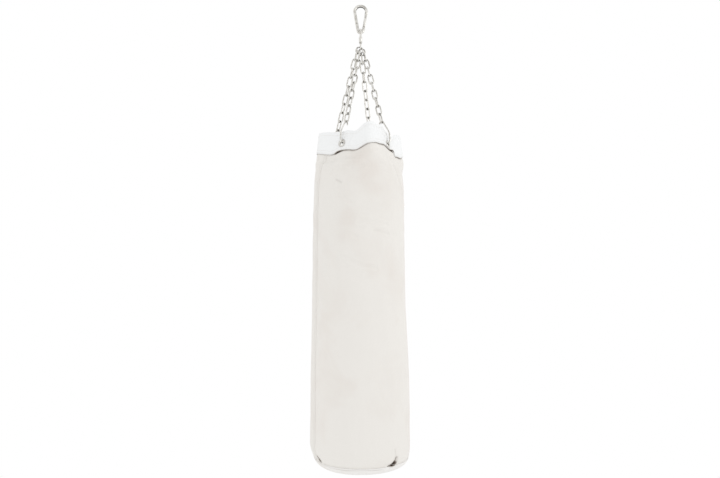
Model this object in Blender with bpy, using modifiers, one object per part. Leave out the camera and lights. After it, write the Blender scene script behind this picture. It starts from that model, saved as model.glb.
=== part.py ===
"""Hanging canvas punching bag: snap hook, swivel, two rings, four chains, collar, body and filling.

The bag hangs from the inside of the snap hook's top bow, which is the origin. +Z is up and the
side that faces the viewer is -Y. An azimuth is measured seen from above, from the front (-Y)
towards the right (+X). All lengths are in metres.
"""

import functools
import math

import bmesh
import bpy
from mathutils import Matrix, Vector

# Gaps and mesh fineness
GAP = 0.0003                    # running gap between pieces that touch on the real bag
SEW_GAP = 0.0004                # gap between layers of cloth
SEAM_GAP = 0.0012               # gap along the base seam, where both edges turn in
WIRE_BEVEL_STEPS = 1            # six-sided wire on the many links and hooks
FINE_BEVEL_STEPS = 2            # eight-sided wire on the snap hook, swivel and rings
COLUMNS = 48                    # columns round the cloth parts
TURN_STEPS = 16                 # sides of the small turned parts, pins and bores
BARREL_STEPS = 20
RING_STEPS = 24
PIN_STEPS = 12
COIL_STEPS = 8                  # sides of one turn of the spring
CURL_STEPS = 8                  # segments in one curl of an S hook
CORNER_STEPS = 4
ARCH_STEPS = 10
COLLAR_ROWS = 5

# Snap hook: a pear-shaped bow of round bar, the wide end up
HOOK_BAR = 0.010
HOOK_TOP_RADIUS = 0.0195        # centreline radius of the wide end
HOOK_FOOT_RADIUS = 0.0090       # centreline radius of the narrow end
HOOK_INNER_LENGTH = 0.0840      # from the bearing point of the top bow to that of the foot
GATE_FROM_TOP = 0.0250          # where the gate's nose starts, below the origin
GATE_PIVOT_DOWN = 0.0640        # the rivet's height below the origin
GATE_BAR = 0.0088
TONGUE_THICK = 0.0032           # flattened end of the bar inside the gate's fork
TONGUE_WIDTH = 0.0063
TONGUE_LENGTH = 0.0068          # from the rivet to the full bar
FORK_DEPTH = 0.0048             # the fork's slot runs this far past the rivet
NOSE_SLOT = 0.0070              # depth of the slot in the bar above the gate
NOSE_TONGUE_LENGTH = 0.0052     # the gate's tongue, which lies in that slot
NOSE_TONGUE_WIDTH = 0.0058
NOSE_PIN_UP = 0.0032            # the pin's place on the tongue
NOSE_PIN_LENGTH = 0.0092
RIVET_RADIUS = 0.0016
RIVET_HEAD_RADIUS = 0.0030
RIVET_HEAD_HEIGHT = 0.0009
RIVET_DOME_RADIUS = 0.0021      # the head's face slopes from here
RIVET_DOME_HEIGHT = 0.0002
NOSE_PIN_RADIUS = 0.0013
SPRING_WIRE = 0.0006
SPRING_RADIUS = 0.0019          # centreline radius of the gate's coil spring
SPRING_TURNS = 6
SPRING_LENGTH = 0.0130
BORE_RADIUS = 0.0027            # bore in the gate that holds the spring

# Swivel: an eye with a barrel above, an eye with a shank below
EYE_RADIUS = 0.0125             # centreline radius of the upper eye
EYE_BAR = 0.0070
BARREL_RADIUS = 0.0056
BARREL_RISE = 0.0012            # the barrel's top above the middle of the eye's lowest bar
BARREL_LENGTH = 0.0215
BARREL_WALL = 0.0016
BARREL_CHAMFER = 0.0011
LID_THICK = 0.0020              # the barrel's floor, which carries the washer
WASHER_THICK = 0.0012
SHANK_RADIUS = 0.0024
SHANK_HEAD_RADIUS = 0.0035
SHANK_HEAD_HEIGHT = 0.0030
STIRRUP_HALF_WIDTH = 0.0125     # the lower eye is a stirrup in the YZ plane: half its straight foot
STIRRUP_HEIGHT = 0.0190         # centreline, from the shank down to the foot
STIRRUP_CORNER = 0.0045
STIRRUP_SHOULDER = 0.0080       # its sides stand straight up to here, under the arch
STIRRUP_BAR = 0.0048
NECK_LENGTH = 0.0030            # shank showing between the barrel and the stirrup

# Rings: two welded rings on the stirrup's foot, each carrying two chains
RING_RADIUS = 0.0114            # centreline radius
RING_BAR = 0.0042
RING_LEAN = math.radians(38.0)  # how far each ring is pulled to its own side, in its plane
RING_APART = 0.0066             # half the distance between the two rings' planes
LINK_LEAN = math.radians(22.0)  # the middle of the two chains on a ring, off straight down
LINK_SPREAD = math.radians(26.0)  # half the angle between the two chains on one ring
OUTER_LINK_SEAT = 0.0022        # the first link's gap to its ring, which curves up beside it
INNER_LINK_SEAT = 0.0006

# Chain: welded links
LINK_BAR = 0.0048
LINK_WIDTH = 0.0200             # outer
LINK_INNER_LENGTH = 0.0299
LINKS = 9                       # links in each chain
BOW_STEPS = 6                   # segments in one bow of a link

# S hooks between the chains and the collar. The hook's plane holds the bag's axis.
S_BAR = 0.0048
S_TOP_RADIUS = 0.0075           # centreline radius of the upper curl
S_FOOT_RADIUS = 0.0080          # centreline radius of the lower curl
S_REACH = 0.0212                # from the last link's bearing point out to the lower curl's centre
S_DROP = 0.0660                 # from that point down to the lower curl's centre
S_TIP = 0.0060                  # straight end of the lower curl, inside the collar
S_CURL = math.radians(215.0)    # where the upper curl starts, inside the last link
S_BEND_DOWN = 0.0215            # the shank bends over the rim this far below its start
S_BEND_SHARE = 0.62             # of the way out, at that bend
S_STRAIGHT = 0.0150             # from that bend down to where the shank runs along the wall
S_WALL_SLOPE = 0.0010           # the shank still moves out this much below there
S_RISE = 0.0040                 # straight part above the lower curl's centre

# Grommets: a flanged eyelet in the collar
GROMMET_HOLE = 0.0062
GROMMET_NECK = 0.0076
GROMMET_FLANGE = 0.0115
GROMMET_PLATE = 0.0012
GROMMET_SEAT = 0.0025           # the S hook's gap to the grommet's rim, which its curl crosses
GROMMET_LIP = 0.0006            # the rounding round its hole
GROMMET_BEVEL = 0.0016

# Collar: a doubled canvas band, nearly square in plan where the hooks pull it in
COLLAR_THICK = 0.0034
RIM_ABOVE_HOLES = 0.05025       # the rim at the rounded corners, above the grommets' mean height
COLLAR_HEIGHT = 0.0670
COLLAR_TILT = math.radians(2.0)  # the right side hangs higher
RIM_DIP = 0.0130                # the rim sags this much where the hooks pull it in
SEAM_DIP = 0.0090
CORNER_FULLNESS = 0.0070        # the slack cloth between two hooks bulges out this much
RIM_WAVES = (                   # how the front of the rim waves: azimuth, rise, half-width
    (math.radians(-7.0), -0.0170, math.radians(11.0)),
    (math.radians(42.0), 0.0160, math.radians(9.5)),
    (math.radians(76.0), -0.0110, math.radians(11.0)),
)
SEAM_WAVES = (                  # the collar's lower edge, in the same way
    (math.radians(-10.0), -0.0100, math.radians(13.0)),
    (math.radians(44.0), 0.0120, math.radians(14.0)),
    (math.radians(92.0), -0.0120, math.radians(9.0)),
)
COLLAR_LEAN = 0.14              # how much further out the flats stand for each metre lower
CORNER_RADIUS = 0.1450          # the rounded corners reach out to this
SQUARENESS = 12                 # higher is squarer

# Attachments: name, azimuth, radius of the last link's bearing point, ring
ATTACHMENTS = (
    ("back_left", math.radians(-121.0), 0.088, "left"),
    ("front_left", math.radians(-34.0), 0.081, "left"),
    ("back_right", math.radians(155.0), 0.076, "right"),
    ("front_right", math.radians(58.0), 0.079, "right"),
)

# Canvas body: stations down the bag, as height below the collar's mean rim, radius, shift to the
# right and roundness (0 is the collar's plan, 1 is a circle)
CANVAS_THICK = 0.0022
LAP_GAP = 0.0008                # between the collar's inside and the canvas tucked into it
LAP_UP = 0.0040                 # the canvas runs this far up inside the collar
BULGE_DOWN = 0.0200             # below the collar's edge the canvas swells out over this height
HALF_SWELL = 0.4                # of its tuck is left half-way down that height
STATIONS = (
    (0.1290, 0.1425, -0.003, 0.50),
    (0.1990, 0.1438, -0.005, 0.85),
    (0.2830, 0.1448, -0.006, 1.00),
    (0.4090, 0.1446, -0.006, 1.00),
    (0.5360, 0.1450, -0.005, 1.00),
    (0.6930, 0.1490, -0.003, 1.00),
    (0.8430, 0.1508, -0.002, 1.00),
    (0.9550, 0.1506, -0.002, 1.00),
    (0.9850, 0.1492, -0.002, 1.00),
    (1.0010, 0.1452, -0.002, 1.00),
)
BULGE_RADIUS = 0.1435           # corner radius of the canvas just below the collar

# Base panel: a round panel whose edge turns up to the base seam
BASE_DEPTH = 0.0225             # from the base seam down to the underside
BASE_FLAT_RADIUS = 0.1080
BASE_THICK = 0.0030

# Inside
COVER_DOWN = 0.0060             # top face of the cover, below the collar's mean lower edge
COVER_THICK = 0.0030
COVER_CLEAR = 0.0010            # between the cover's edge and the canvas
FILLING_SLACK = 0.0040          # the filling is rounded off this much at its top edge
FILLING_SHOULDER = 0.0024       # and this much a little lower
FILLING_COLUMNS = 24            # half as many as the body, so that they line up

# Lap seam up the left side of the body
SEAM_AZIMUTH = math.radians(-62.0)
SEAM_WIDTH = 0.0140
SEAM_THICK = 0.0012
SEAM_CLEAR = 0.0007             # over the body's flat facets
SEAM_CORNER_CLEAR = 0.0017      # near the collar, where the body is squarer

OBJECT_NAME = "punching_bag"

ACROSS = Matrix.Rotation(math.pi / 2, 4, "X")  # turns a cylinder to lie front to back
THROUGH = 2 * HOOK_BAR          # cutters this long run right through a bar or a wall


def clear_scene():
    """Remove what is in the scene."""
    for obj in list(bpy.data.objects):
        bpy.data.objects.remove(obj, do_unlink=True)


def make_collection(name):
    collection = bpy.data.collections.new(name)
    bpy.context.scene.collection.children.link(collection)
    return collection


def make_material(name, colour, roughness, metallic):
    material = bpy.data.materials.new(name)
    material.use_nodes = True
    shader = material.node_tree.nodes["Principled BSDF"]
    shader.inputs["Base Color"].default_value = (*colour, 1.0)
    shader.inputs["Roughness"].default_value = roughness
    shader.inputs["Metallic"].default_value = metallic
    material.diffuse_color = (*colour, 1.0)
    return material


def put(data, name, material, collection, matrix=None, parent=None):
    """An object that holds this mesh or curve, with its material and the parent it moves with."""
    obj = bpy.data.objects.new(name, data)
    if matrix is not None:
        obj.matrix_world = matrix
    if parent is not None:
        obj.parent = parent
        obj.matrix_parent_inverse = parent.matrix_world.inverted()
    if not data.materials:
        data.materials.append(material)
    collection.objects.link(obj)
    return obj


def put_cutter(data, name, matrix=None):
    cutter = bpy.data.objects.new(name, data)
    if matrix is not None:
        cutter.matrix_world = matrix
    CUTTERS.objects.link(cutter)
    cutter.hide_render = True
    cutter.display_type = "WIRE"
    return cutter


def marker(name, matrix):
    """An empty on a joint's axis, for the pieces that turn about it."""
    empty = bpy.data.objects.new(name, None)
    empty.matrix_world = matrix
    PARTS.objects.link(empty)
    return empty


def shade_smooth(mesh, angle=math.radians(40.0)):
    mesh.shade_smooth()
    mesh.set_sharp_from_angle(angle=angle)


def wire_curve(name, points, radius, closed, bevel):
    """Curve data for a round wire through these points."""
    curve = bpy.data.curves.new(name, "CURVE")
    curve.dimensions = "3D"
    curve.bevel_depth = radius
    curve.bevel_resolution = bevel
    curve.use_fill_caps = not closed
    spline = curve.splines.new("POLY")
    spline.points.add(len(points) - 1)
    for point, place in zip(spline.points, points):
        point.co = (*place, 1.0)
    spline.use_cyclic_u = closed
    spline.use_smooth = True
    return curve


def curve_to_mesh(curve, name):
    """The wire as a mesh with its end caps welded on."""
    carrier = bpy.data.objects.new(name + "_curve", curve)
    CUTTERS.objects.link(carrier)
    bpy.context.view_layer.update()
    graph = bpy.context.evaluated_depsgraph_get()
    mesh = bpy.data.meshes.new_from_object(carrier.evaluated_get(graph))
    mesh.name = name
    work = bmesh.new()
    work.from_mesh(mesh)
    bmesh.ops.remove_doubles(work, verts=work.verts, dist=1e-6)
    work.to_mesh(mesh)
    work.free()
    bpy.data.objects.remove(carrier)
    return mesh


def cylinder_mesh(name, radius, length, segments, centre=Vector((0, 0, 0)), turn=None):
    """A capped cylinder along Z about its centre, then turned and moved."""
    mesh = bpy.data.meshes.new(name)
    work = bmesh.new()
    bmesh.ops.create_cone(
        work, cap_ends=True, segments=segments, radius1=radius, radius2=radius, depth=length
    )
    if turn is not None:
        bmesh.ops.transform(work, matrix=turn, verts=work.verts)
    bmesh.ops.translate(work, vec=centre, verts=work.verts)
    work.to_mesh(mesh)
    work.free()
    return mesh


def round_ended_mesh(name, radius, length, thickness):
    """A flat bar in the XY plane: round about the origin at its +Y end, straight along -Y."""
    curve = bpy.data.curves.new(name, "CURVE")
    curve.dimensions = "2D"
    curve.fill_mode = "BOTH"
    curve.extrude = thickness / 2
    half = TURN_STEPS // 2
    outline = [
        (radius * math.cos(math.pi * i / half), radius * math.sin(math.pi * i / half))
        for i in range(half + 1)
    ]
    outline += [(-radius, -length), (radius, -length)]
    spline = curve.splines.new("POLY")
    spline.points.add(len(outline) - 1)
    for point, (x, y) in zip(spline.points, outline):
        point.co = (x, y, 0.0, 1.0)
    spline.use_cyclic_u = True
    return curve_to_mesh(curve, name)


def box_mesh(name, size, centre, turn=None):
    mesh = bpy.data.meshes.new(name)
    work = bmesh.new()
    bmesh.ops.create_cube(work, size=1.0)
    bmesh.ops.scale(work, vec=size, verts=work.verts)
    if turn is not None:
        bmesh.ops.transform(work, matrix=turn, verts=work.verts)
    bmesh.ops.translate(work, vec=centre, verts=work.verts)
    work.to_mesh(mesh)
    work.free()
    return mesh


def turned_mesh(name, profile, closed):
    """A profile of (radius, height) points for a Screw about Z, run from top to bottom outside."""
    mesh = bpy.data.meshes.new(name)
    points = [(radius, 0.0, height) for radius, height in profile]
    edges = [(i, i + 1) for i in range(len(points) - 1)]
    if closed:
        edges.append((len(points) - 1, 0))
    mesh.from_pydata(points, edges, [])
    return mesh


def add_screw(obj, steps):
    screw = obj.modifiers.new("turn", "SCREW")
    screw.steps = steps
    screw.render_steps = steps
    screw.use_merge_vertices = True
    screw.merge_threshold = 1e-5
    screw.use_smooth_shade = True
    return screw


def add_boolean(obj, other, operation):
    modifier = obj.modifiers.new(operation.lower() + "_" + other.name, "BOOLEAN")
    modifier.operation = operation
    modifier.object = other
    modifier.solver = "EXACT"
    return modifier


def arc(centre, radius, start, end, steps):
    """Points in the XZ plane on an arc, its angles measured from +X towards +Z."""
    angles = [start + (end - start) * i / steps for i in range(steps + 1)]
    return [
        Vector((centre[0] + radius * math.cos(a), 0.0, centre[1] + radius * math.sin(a)))
        for a in angles
    ]


def outward(azimuth):
    return Vector((math.sin(azimuth), -math.cos(azimuth), 0.0))


def sideways(azimuth):
    return Vector((math.cos(azimuth), math.sin(azimuth), 0.0))


# Snap hook

def snap_hook_outline():
    """Centres of the two bows and the angle at which the straight sides touch them."""
    top = (0.0, HOOK_BAR / 2 - HOOK_TOP_RADIUS)
    foot = (0.0, -HOOK_INNER_LENGTH - HOOK_BAR / 2 + HOOK_FOOT_RADIUS)
    touch = math.asin((HOOK_TOP_RADIUS - HOOK_FOOT_RADIUS) / (top[1] - foot[1]))
    return top, foot, touch


def right_side_at(down):
    """The point of the straight right side at this height below the origin."""
    top, _, touch = snap_hook_outline()
    start = Vector((
        top[0] + HOOK_TOP_RADIUS * math.cos(touch), 0.0, top[1] - HOOK_TOP_RADIUS * math.sin(touch)
    ))
    along = side_direction()
    return start + along * ((start.z + down) / -along.z)


def side_direction():
    """Down the straight right side, towards the foot."""
    touch = snap_hook_outline()[2]
    return Vector((-math.sin(touch), 0.0, -math.cos(touch)))


def build_snap_hook():
    """The open bow, its gate, the rivet that the gate turns on, the nose pin and the spring."""
    top, foot, touch = snap_hook_outline()
    down = side_direction()
    pivot = right_side_at(GATE_PIVOT_DOWN)
    nose = right_side_at(GATE_FROM_TOP)
    tilt = Matrix.Rotation(touch, 4, "Y")
    bar_end = pivot + down * TONGUE_LENGTH

    route = [bar_end]
    route += arc(foot, HOOK_FOOT_RADIUS, -touch, -math.pi + touch, 10)
    route += arc(top, HOOK_TOP_RADIUS, math.pi + touch, -touch, 18)
    route.append(nose)
    bar = wire_curve("bow", route, HOOK_BAR / 2, False, FINE_BEVEL_STEPS + 1)
    bow = put(curve_to_mesh(bar, "carabiner_body"), "carabiner_body", PLATED, PARTS)
    rounded = pivot - down * (GATE_BAR - TONGUE_WIDTH) / 2
    embedded = (bar_end - rounded).length + HOOK_BAR / 4
    tongue = put_cutter(
        round_ended_mesh("tongue", TONGUE_WIDTH / 2, embedded, TONGUE_THICK), "tongue",
        Matrix.Translation(rounded) @ tilt @ ACROSS,
    )
    add_boolean(bow, tongue, "UNION")
    rivet_hole = put_cutter(
        cylinder_mesh("rivet_hole", RIVET_RADIUS + GAP, THROUGH, TURN_STEPS, pivot, ACROSS),
        "rivet_hole",
    )
    add_boolean(bow, rivet_hole, "DIFFERENCE")
    nose_slot = put_cutter(
        box_mesh(
            "nose_slot", (THROUGH, TONGUE_THICK + 2 * GAP, NOSE_SLOT * 2), nose, tilt,
        ),
        "nose_slot",
    )
    add_boolean(bow, nose_slot, "DIFFERENCE")
    pin_place = nose - down * NOSE_PIN_UP
    pin_notch = put_cutter(
        round_ended_mesh("pin_notch", NOSE_PIN_RADIUS + GAP, HOOK_BAR, THROUGH), "pin_notch",
        Matrix.Translation(pin_place) @ tilt @ Matrix.Rotation(math.pi / 2, 4, "Y") @ ACROSS,
    )
    add_boolean(bow, pin_notch, "DIFFERENCE")
    build_gate(pivot, nose, down, tilt)


def build_gate(pivot, nose, down, tilt):
    """The gate bar with its fork, its nose tongue, the rivet, the nose pin and the spring."""
    bar_start = pivot + down * GATE_BAR / 2
    bar_end = nose + down * GAP
    gate_mesh = cylinder_mesh(
        "carabiner_gate", GATE_BAR / 2, (bar_start - bar_end).length, BARREL_STEPS
    )
    middle = (bar_start + bar_end) / 2
    gate_mesh.transform(Matrix.Translation(middle - pivot) @ tilt)
    gate = put(gate_mesh, "carabiner_gate", PLATED, PARTS, Matrix.Translation(pivot))
    tongue = put_cutter(
        box_mesh(
            "gate_nose_tongue",
            (NOSE_TONGUE_WIDTH, TONGUE_THICK, NOSE_TONGUE_LENGTH + GATE_BAR / 2),
            nose - down * (NOSE_TONGUE_LENGTH - GATE_BAR / 2) / 2, tilt,
        ),
        "gate_nose_tongue",
    )
    add_boolean(gate, tongue, "UNION")
    fork_slot = put_cutter(
        box_mesh(
            "fork_slot", (THROUGH, TONGUE_THICK + 2 * GAP, 2 * (FORK_DEPTH + GATE_BAR / 2)),
            bar_start, tilt,
        ),
        "fork_slot",
    )
    add_boolean(gate, fork_slot, "DIFFERENCE")
    gate_hole = put_cutter(
        cylinder_mesh("gate_hole", RIVET_RADIUS + GAP, THROUGH, TURN_STEPS, pivot, ACROSS),
        "gate_hole",
    )
    add_boolean(gate, gate_hole, "DIFFERENCE")
    bore_start = pivot - down * FORK_DEPTH
    bore = put_cutter(
        cylinder_mesh(
            "spring_bore", BORE_RADIUS, 2 * (SPRING_LENGTH + 2 * GAP), TURN_STEPS, bore_start, tilt
        ),
        "spring_bore",
    )
    add_boolean(gate, bore, "DIFFERENCE")
    pin_place = nose - down * NOSE_PIN_UP
    pin_hole = put_cutter(
        cylinder_mesh("pin_hole", NOSE_PIN_RADIUS + GAP, THROUGH, PIN_STEPS, pin_place, ACROSS),
        "pin_hole",
    )
    add_boolean(gate, pin_hole, "DIFFERENCE")

    half = GATE_BAR / 2 + GAP
    head_top = half + RIVET_HEAD_HEIGHT
    profile = [
        (0.0, head_top), (RIVET_DOME_RADIUS, head_top - RIVET_DOME_HEIGHT),
        (RIVET_HEAD_RADIUS, half), (RIVET_RADIUS, half),
        (RIVET_RADIUS, -half), (RIVET_HEAD_RADIUS, -half),
        (RIVET_DOME_RADIUS, -head_top + RIVET_DOME_HEIGHT), (0.0, -head_top),
    ]
    rivet = put(
        turned_mesh("gate_rivet", profile, False), "gate_rivet", PLATED, PARTS,
        Matrix.Translation(pivot) @ ACROSS,
    )
    add_screw(rivet, TURN_STEPS)
    put(
        cylinder_mesh(
            "gate_nose_pin", NOSE_PIN_RADIUS, NOSE_PIN_LENGTH, PIN_STEPS, turn=ACROSS
        ),
        "gate_nose_pin", PLATED, PARTS, Matrix.Translation(pin_place), gate,
    )
    coil = []
    count = SPRING_TURNS * COIL_STEPS
    for i in range(count + 1):
        angle = 2 * math.pi * i / COIL_STEPS
        along = (SPRING_LENGTH - SPRING_WIRE) * i / count + SPRING_WIRE / 2
        coil.append(Vector((
            SPRING_RADIUS * math.cos(angle), SPRING_RADIUS * math.sin(angle), along
        )))
    put(
        wire_curve("gate_spring", coil, SPRING_WIRE / 2, False, WIRE_BEVEL_STEPS), "gate_spring",
        PLATED, PARTS, Matrix.Translation(bore_start - down * GAP) @ tilt, gate,
    )


# Swivel

def swivel_levels():
    """Heights of the swivel's parts, which hang one under the other."""
    foot_bar = -HOOK_INNER_LENGTH - HOOK_BAR / 2
    eye_centre = foot_bar + HOOK_BAR / 2 + GAP + EYE_BAR / 2 - EYE_RADIUS
    barrel_top = eye_centre - EYE_RADIUS + BARREL_RISE
    barrel_bottom = barrel_top - BARREL_LENGTH
    stirrup_top = barrel_bottom - NECK_LENGTH - STIRRUP_BAR / 2
    return {
        "foot_bar": foot_bar,
        "eye_centre": eye_centre,
        "barrel_top": barrel_top,
        "barrel_bottom": barrel_bottom,
        "stirrup_top": stirrup_top,
        "stirrup_foot": stirrup_top - STIRRUP_HEIGHT,
    }


def stirrup_points():
    """A closed loop in the YZ plane: a straight foot, round corners and an arch above."""
    half, corner = STIRRUP_HALF_WIDTH, STIRRUP_CORNER
    points = []
    for side in (1.0, -1.0):
        turns = [math.pi / 2 * i / CORNER_STEPS for i in range(CORNER_STEPS + 1)]
        quarter = [
            Vector((
                0.0, side * (half - corner + corner * math.sin(turn)),
                corner - corner * math.cos(turn),
            ))
            for turn in turns
        ]
        points += quarter if side > 0 else reversed(quarter)
        if side > 0:
            rise = STIRRUP_HEIGHT - STIRRUP_SHOULDER
            points += [
                Vector((0.0, half * math.cos(turn), STIRRUP_SHOULDER + rise * math.sin(turn)))
                for turn in (math.pi * i / ARCH_STEPS for i in range(ARCH_STEPS + 1))
            ]
    return points


def upper_eye_mesh(name):
    """A round bar bent to a ring in the YZ plane."""
    around = [
        Vector((0.0, math.cos(a), math.sin(a))) * EYE_RADIUS
        for a in (2 * math.pi * i / RING_STEPS for i in range(RING_STEPS))
    ]
    return curve_to_mesh(wire_curve(name, around, EYE_BAR / 2, True, FINE_BEVEL_STEPS), name)


def build_swivel():
    """The upper eye with its barrel, the washer inside it, and the shank with the lower eye."""
    at = swivel_levels()
    pivot = marker("swivel_pivot", Matrix.Translation((0.0, 0.0, at["foot_bar"])))
    body = put(
        upper_eye_mesh("swivel_eye"), "swivel_barrel", PLATED, PARTS,
        Matrix.Translation((0.0, 0.0, at["eye_centre"])), pivot,
    )
    top, bottom = at["barrel_top"], at["barrel_bottom"]
    barrel_profile = [
        (0.0, top), (BARREL_RADIUS - BARREL_CHAMFER, top), (BARREL_RADIUS, top - BARREL_CHAMFER),
        (BARREL_RADIUS, bottom + BARREL_CHAMFER), (BARREL_RADIUS - BARREL_CHAMFER, bottom),
        (0.0, bottom),
    ]
    barrel = put_cutter(turned_mesh("barrel", barrel_profile, False), "barrel")
    add_screw(barrel, BARREL_STEPS)
    room_top = bottom + LID_THICK + WASHER_THICK + SHANK_HEAD_HEIGHT + 3 * GAP
    room_radius = BARREL_RADIUS - BARREL_WALL
    bore = SHANK_RADIUS + GAP
    room_profile = [
        (0.0, room_top), (room_radius, room_top), (room_radius, bottom + LID_THICK),
        (bore, bottom + LID_THICK), (bore, bottom - LID_THICK), (0.0, bottom - LID_THICK),
    ]
    room = put_cutter(turned_mesh("barrel_room", room_profile, False), "barrel_room")
    add_screw(room, BARREL_STEPS)
    add_boolean(body, barrel, "UNION")
    add_boolean(body, room, "DIFFERENCE")

    washer_top = bottom + LID_THICK + GAP + WASHER_THICK
    washer_profile = [
        (bore, washer_top), (room_radius - GAP, washer_top),
        (room_radius - GAP, washer_top - WASHER_THICK), (bore, washer_top - WASHER_THICK),
    ]
    washer = put(
        turned_mesh("swivel_washer", washer_profile, True), "swivel_washer", BRASS, PARTS,
        parent=pivot,
    )
    add_screw(washer, TURN_STEPS)

    stirrup = curve_to_mesh(
        wire_curve("stirrup", stirrup_points(), STIRRUP_BAR / 2, True, FINE_BEVEL_STEPS), "stirrup"
    )
    shank = put(
        stirrup, "swivel_shank", PLATED, PARTS, Matrix.Translation((0.0, 0.0, at["stirrup_foot"]))
    )
    head_top = washer_top + GAP + SHANK_HEAD_HEIGHT
    shank_foot = at["stirrup_top"] - STIRRUP_BAR / 4
    stem_profile = [
        (0.0, head_top), (SHANK_HEAD_RADIUS, head_top), (SHANK_HEAD_RADIUS, washer_top + GAP),
        (SHANK_RADIUS, washer_top + GAP), (SHANK_RADIUS, shank_foot), (0.0, shank_foot),
    ]
    stem = put_cutter(turned_mesh("shank_stem", stem_profile, False), "shank_stem")
    add_screw(stem, TURN_STEPS)
    add_boolean(shank, stem, "UNION")


# Rings and chains

def ring_centre(side):
    """The centre of the left or right ring, which hangs in the lower eye and leans to its side."""
    sign = -1.0 if side == "left" else 1.0
    foot = swivel_levels()["stirrup_foot"]
    hang = RING_RADIUS - RING_BAR / 2 - STIRRUP_BAR / 2 - GAP
    return Vector((
        sign * hang * math.sin(RING_LEAN),
        sign * RING_APART,
        foot - hang * math.cos(RING_LEAN),
    ))


def chain_start(index):
    """The bearing point of the first link, whose top bow crosses its ring's bar."""
    _, azimuth, radius, side = ATTACHMENTS[index]
    sign = -1.0 if side == "left" else 1.0
    outer = abs(math.sin(azimuth)) > abs(math.sin(ATTACHMENTS[index ^ 1][1]))
    lean = sign * LINK_LEAN + (sign if outer else -sign) * LINK_SPREAD
    bar = ring_centre(side) + Vector((math.sin(lean), 0.0, -math.cos(lean))) * RING_RADIUS
    bar_along = Vector((math.cos(lean), 0.0, math.sin(lean)))
    end = outward(azimuth) * radius
    flat = Vector((end.x - bar.x, end.y - bar.y, 0.0))
    drop = math.sqrt((LINKS * link_pitch()) ** 2 - flat.length_squared)
    up = (Vector((0.0, 0.0, drop)) - flat).normalized()
    apart = bar_along.cross(square_to(Vector((0.0, 1.0, 0.0)), up)).normalized()
    seat = OUTER_LINK_SEAT if outer else INNER_LINK_SEAT
    rise = (RING_BAR / 2 + LINK_BAR / 2 + seat) / abs(up.dot(apart))
    return bar + up * (rise - LINK_BAR / 2)


def link_pitch():
    return LINK_INNER_LENGTH - GAP


def chain_end(index):
    """The bearing point of the last link, on which the S hook hangs."""
    _, azimuth, radius, _ = ATTACHMENTS[index]
    start = chain_start(index)
    end = outward(azimuth) * radius
    flat = Vector((end.x - start.x, end.y - start.y, 0.0)).length
    length = LINKS * link_pitch()
    end.z = start.z - math.sqrt(length * length - flat * flat)
    return end


def link_points():
    bow_radius = (LINK_WIDTH - LINK_BAR) / 2
    bow_centre = LINK_INNER_LENGTH / 2 + LINK_BAR / 2 - bow_radius
    points = arc((0.0, bow_centre), bow_radius, 0.0, math.pi, BOW_STEPS)
    points += arc((0.0, -bow_centre), bow_radius, math.pi, 2 * math.pi, BOW_STEPS)
    return points


def square_to(direction, axis):
    """The part of this direction that is square to the axis, as a unit vector."""
    return (direction - axis * direction.dot(axis)).normalized()


def build_chain(index, link_curve, pivot):
    """Nine links from the ring to the S hook, each a quarter turn on from the last."""
    name, azimuth, _, _ = ATTACHMENTS[index]
    start, end = chain_start(index), chain_end(index)
    along = (end - start).normalized()
    first = square_to(Vector((0.0, 1.0, 0.0)), along)
    last = square_to(sideways(azimuth), along)
    twist = math.atan2(first.cross(last).dot(along), first.dot(last))
    if twist > math.pi / 2:
        twist -= math.pi
    if twist < -math.pi / 2:
        twist += math.pi
    for number in range(LINKS):
        roll = twist * number / (LINKS - 1) + math.pi / 2 * number
        width = Matrix.Rotation(roll, 3, along) @ first
        centre = start + along * (LINK_INNER_LENGTH / 2 + number * link_pitch())
        matrix = Matrix((width, width.cross(along), -along)).transposed().to_4x4()
        matrix.translation = centre
        put(link_curve, f"link_{name}_{number + 1}", PLATED, PARTS, matrix, pivot)


def build_rings_and_chains(pivot):
    for side in ("left", "right"):
        around = [
            Vector((math.cos(a), 0.0, math.sin(a))) * RING_RADIUS
            for a in (2 * math.pi * i / RING_STEPS for i in range(RING_STEPS))
        ]
        ring = wire_curve("ring_" + side, around, RING_BAR / 2, True, FINE_BEVEL_STEPS)
        put(ring, "ring_" + side, PLATED, PARTS, Matrix.Translation(ring_centre(side)), pivot)
    link_curve = wire_curve("chain_link", link_points(), LINK_BAR / 2, True, WIRE_BEVEL_STEPS)
    for index in range(len(ATTACHMENTS)):
        build_chain(index, link_curve, pivot)


# S hooks and grommets

def s_hook_points():
    """The hook's centreline, outwards along X and up along Z, from the last link's bearing point."""
    crown = GAP + S_BAR / 2
    points = arc((0.0, crown - S_TOP_RADIUS), S_TOP_RADIUS, S_CURL, 0.0, CURL_STEPS)
    start = points[-1]
    shank = Vector((S_REACH + S_FOOT_RADIUS, 0.0, S_RISE - S_DROP))
    over_rim = Vector((start.x + (shank.x - start.x) * S_BEND_SHARE, 0.0, start.z - S_BEND_DOWN))
    at_wall = Vector((shank.x - S_WALL_SLOPE, 0.0, over_rim.z - S_STRAIGHT))
    points += [over_rim, at_wall, shank]
    points += arc((S_REACH, -S_DROP), S_FOOT_RADIUS, 0.0, -math.pi, CURL_STEPS)
    points.append(points[-1] + Vector((0.0, 0.0, S_TIP)))
    return points


def hook_matrix(index):
    """Places an S hook's outline at the end of its chain, in the plane of the bag's axis."""
    azimuth = ATTACHMENTS[index][1]
    out = outward(azimuth)
    matrix = Matrix((out, sideways(azimuth), Vector((0, 0, 1)))).transposed().to_4x4()
    matrix.translation = chain_end(index)
    return matrix


def hole_level(index):
    """The height of the grommet's centre: its upper edge hangs on the S hook's lower curl."""
    curl_top = chain_end(index).z - S_DROP - S_FOOT_RADIUS + S_BAR / 2
    return curl_top + GROMMET_SEAT - GROMMET_HOLE


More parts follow.
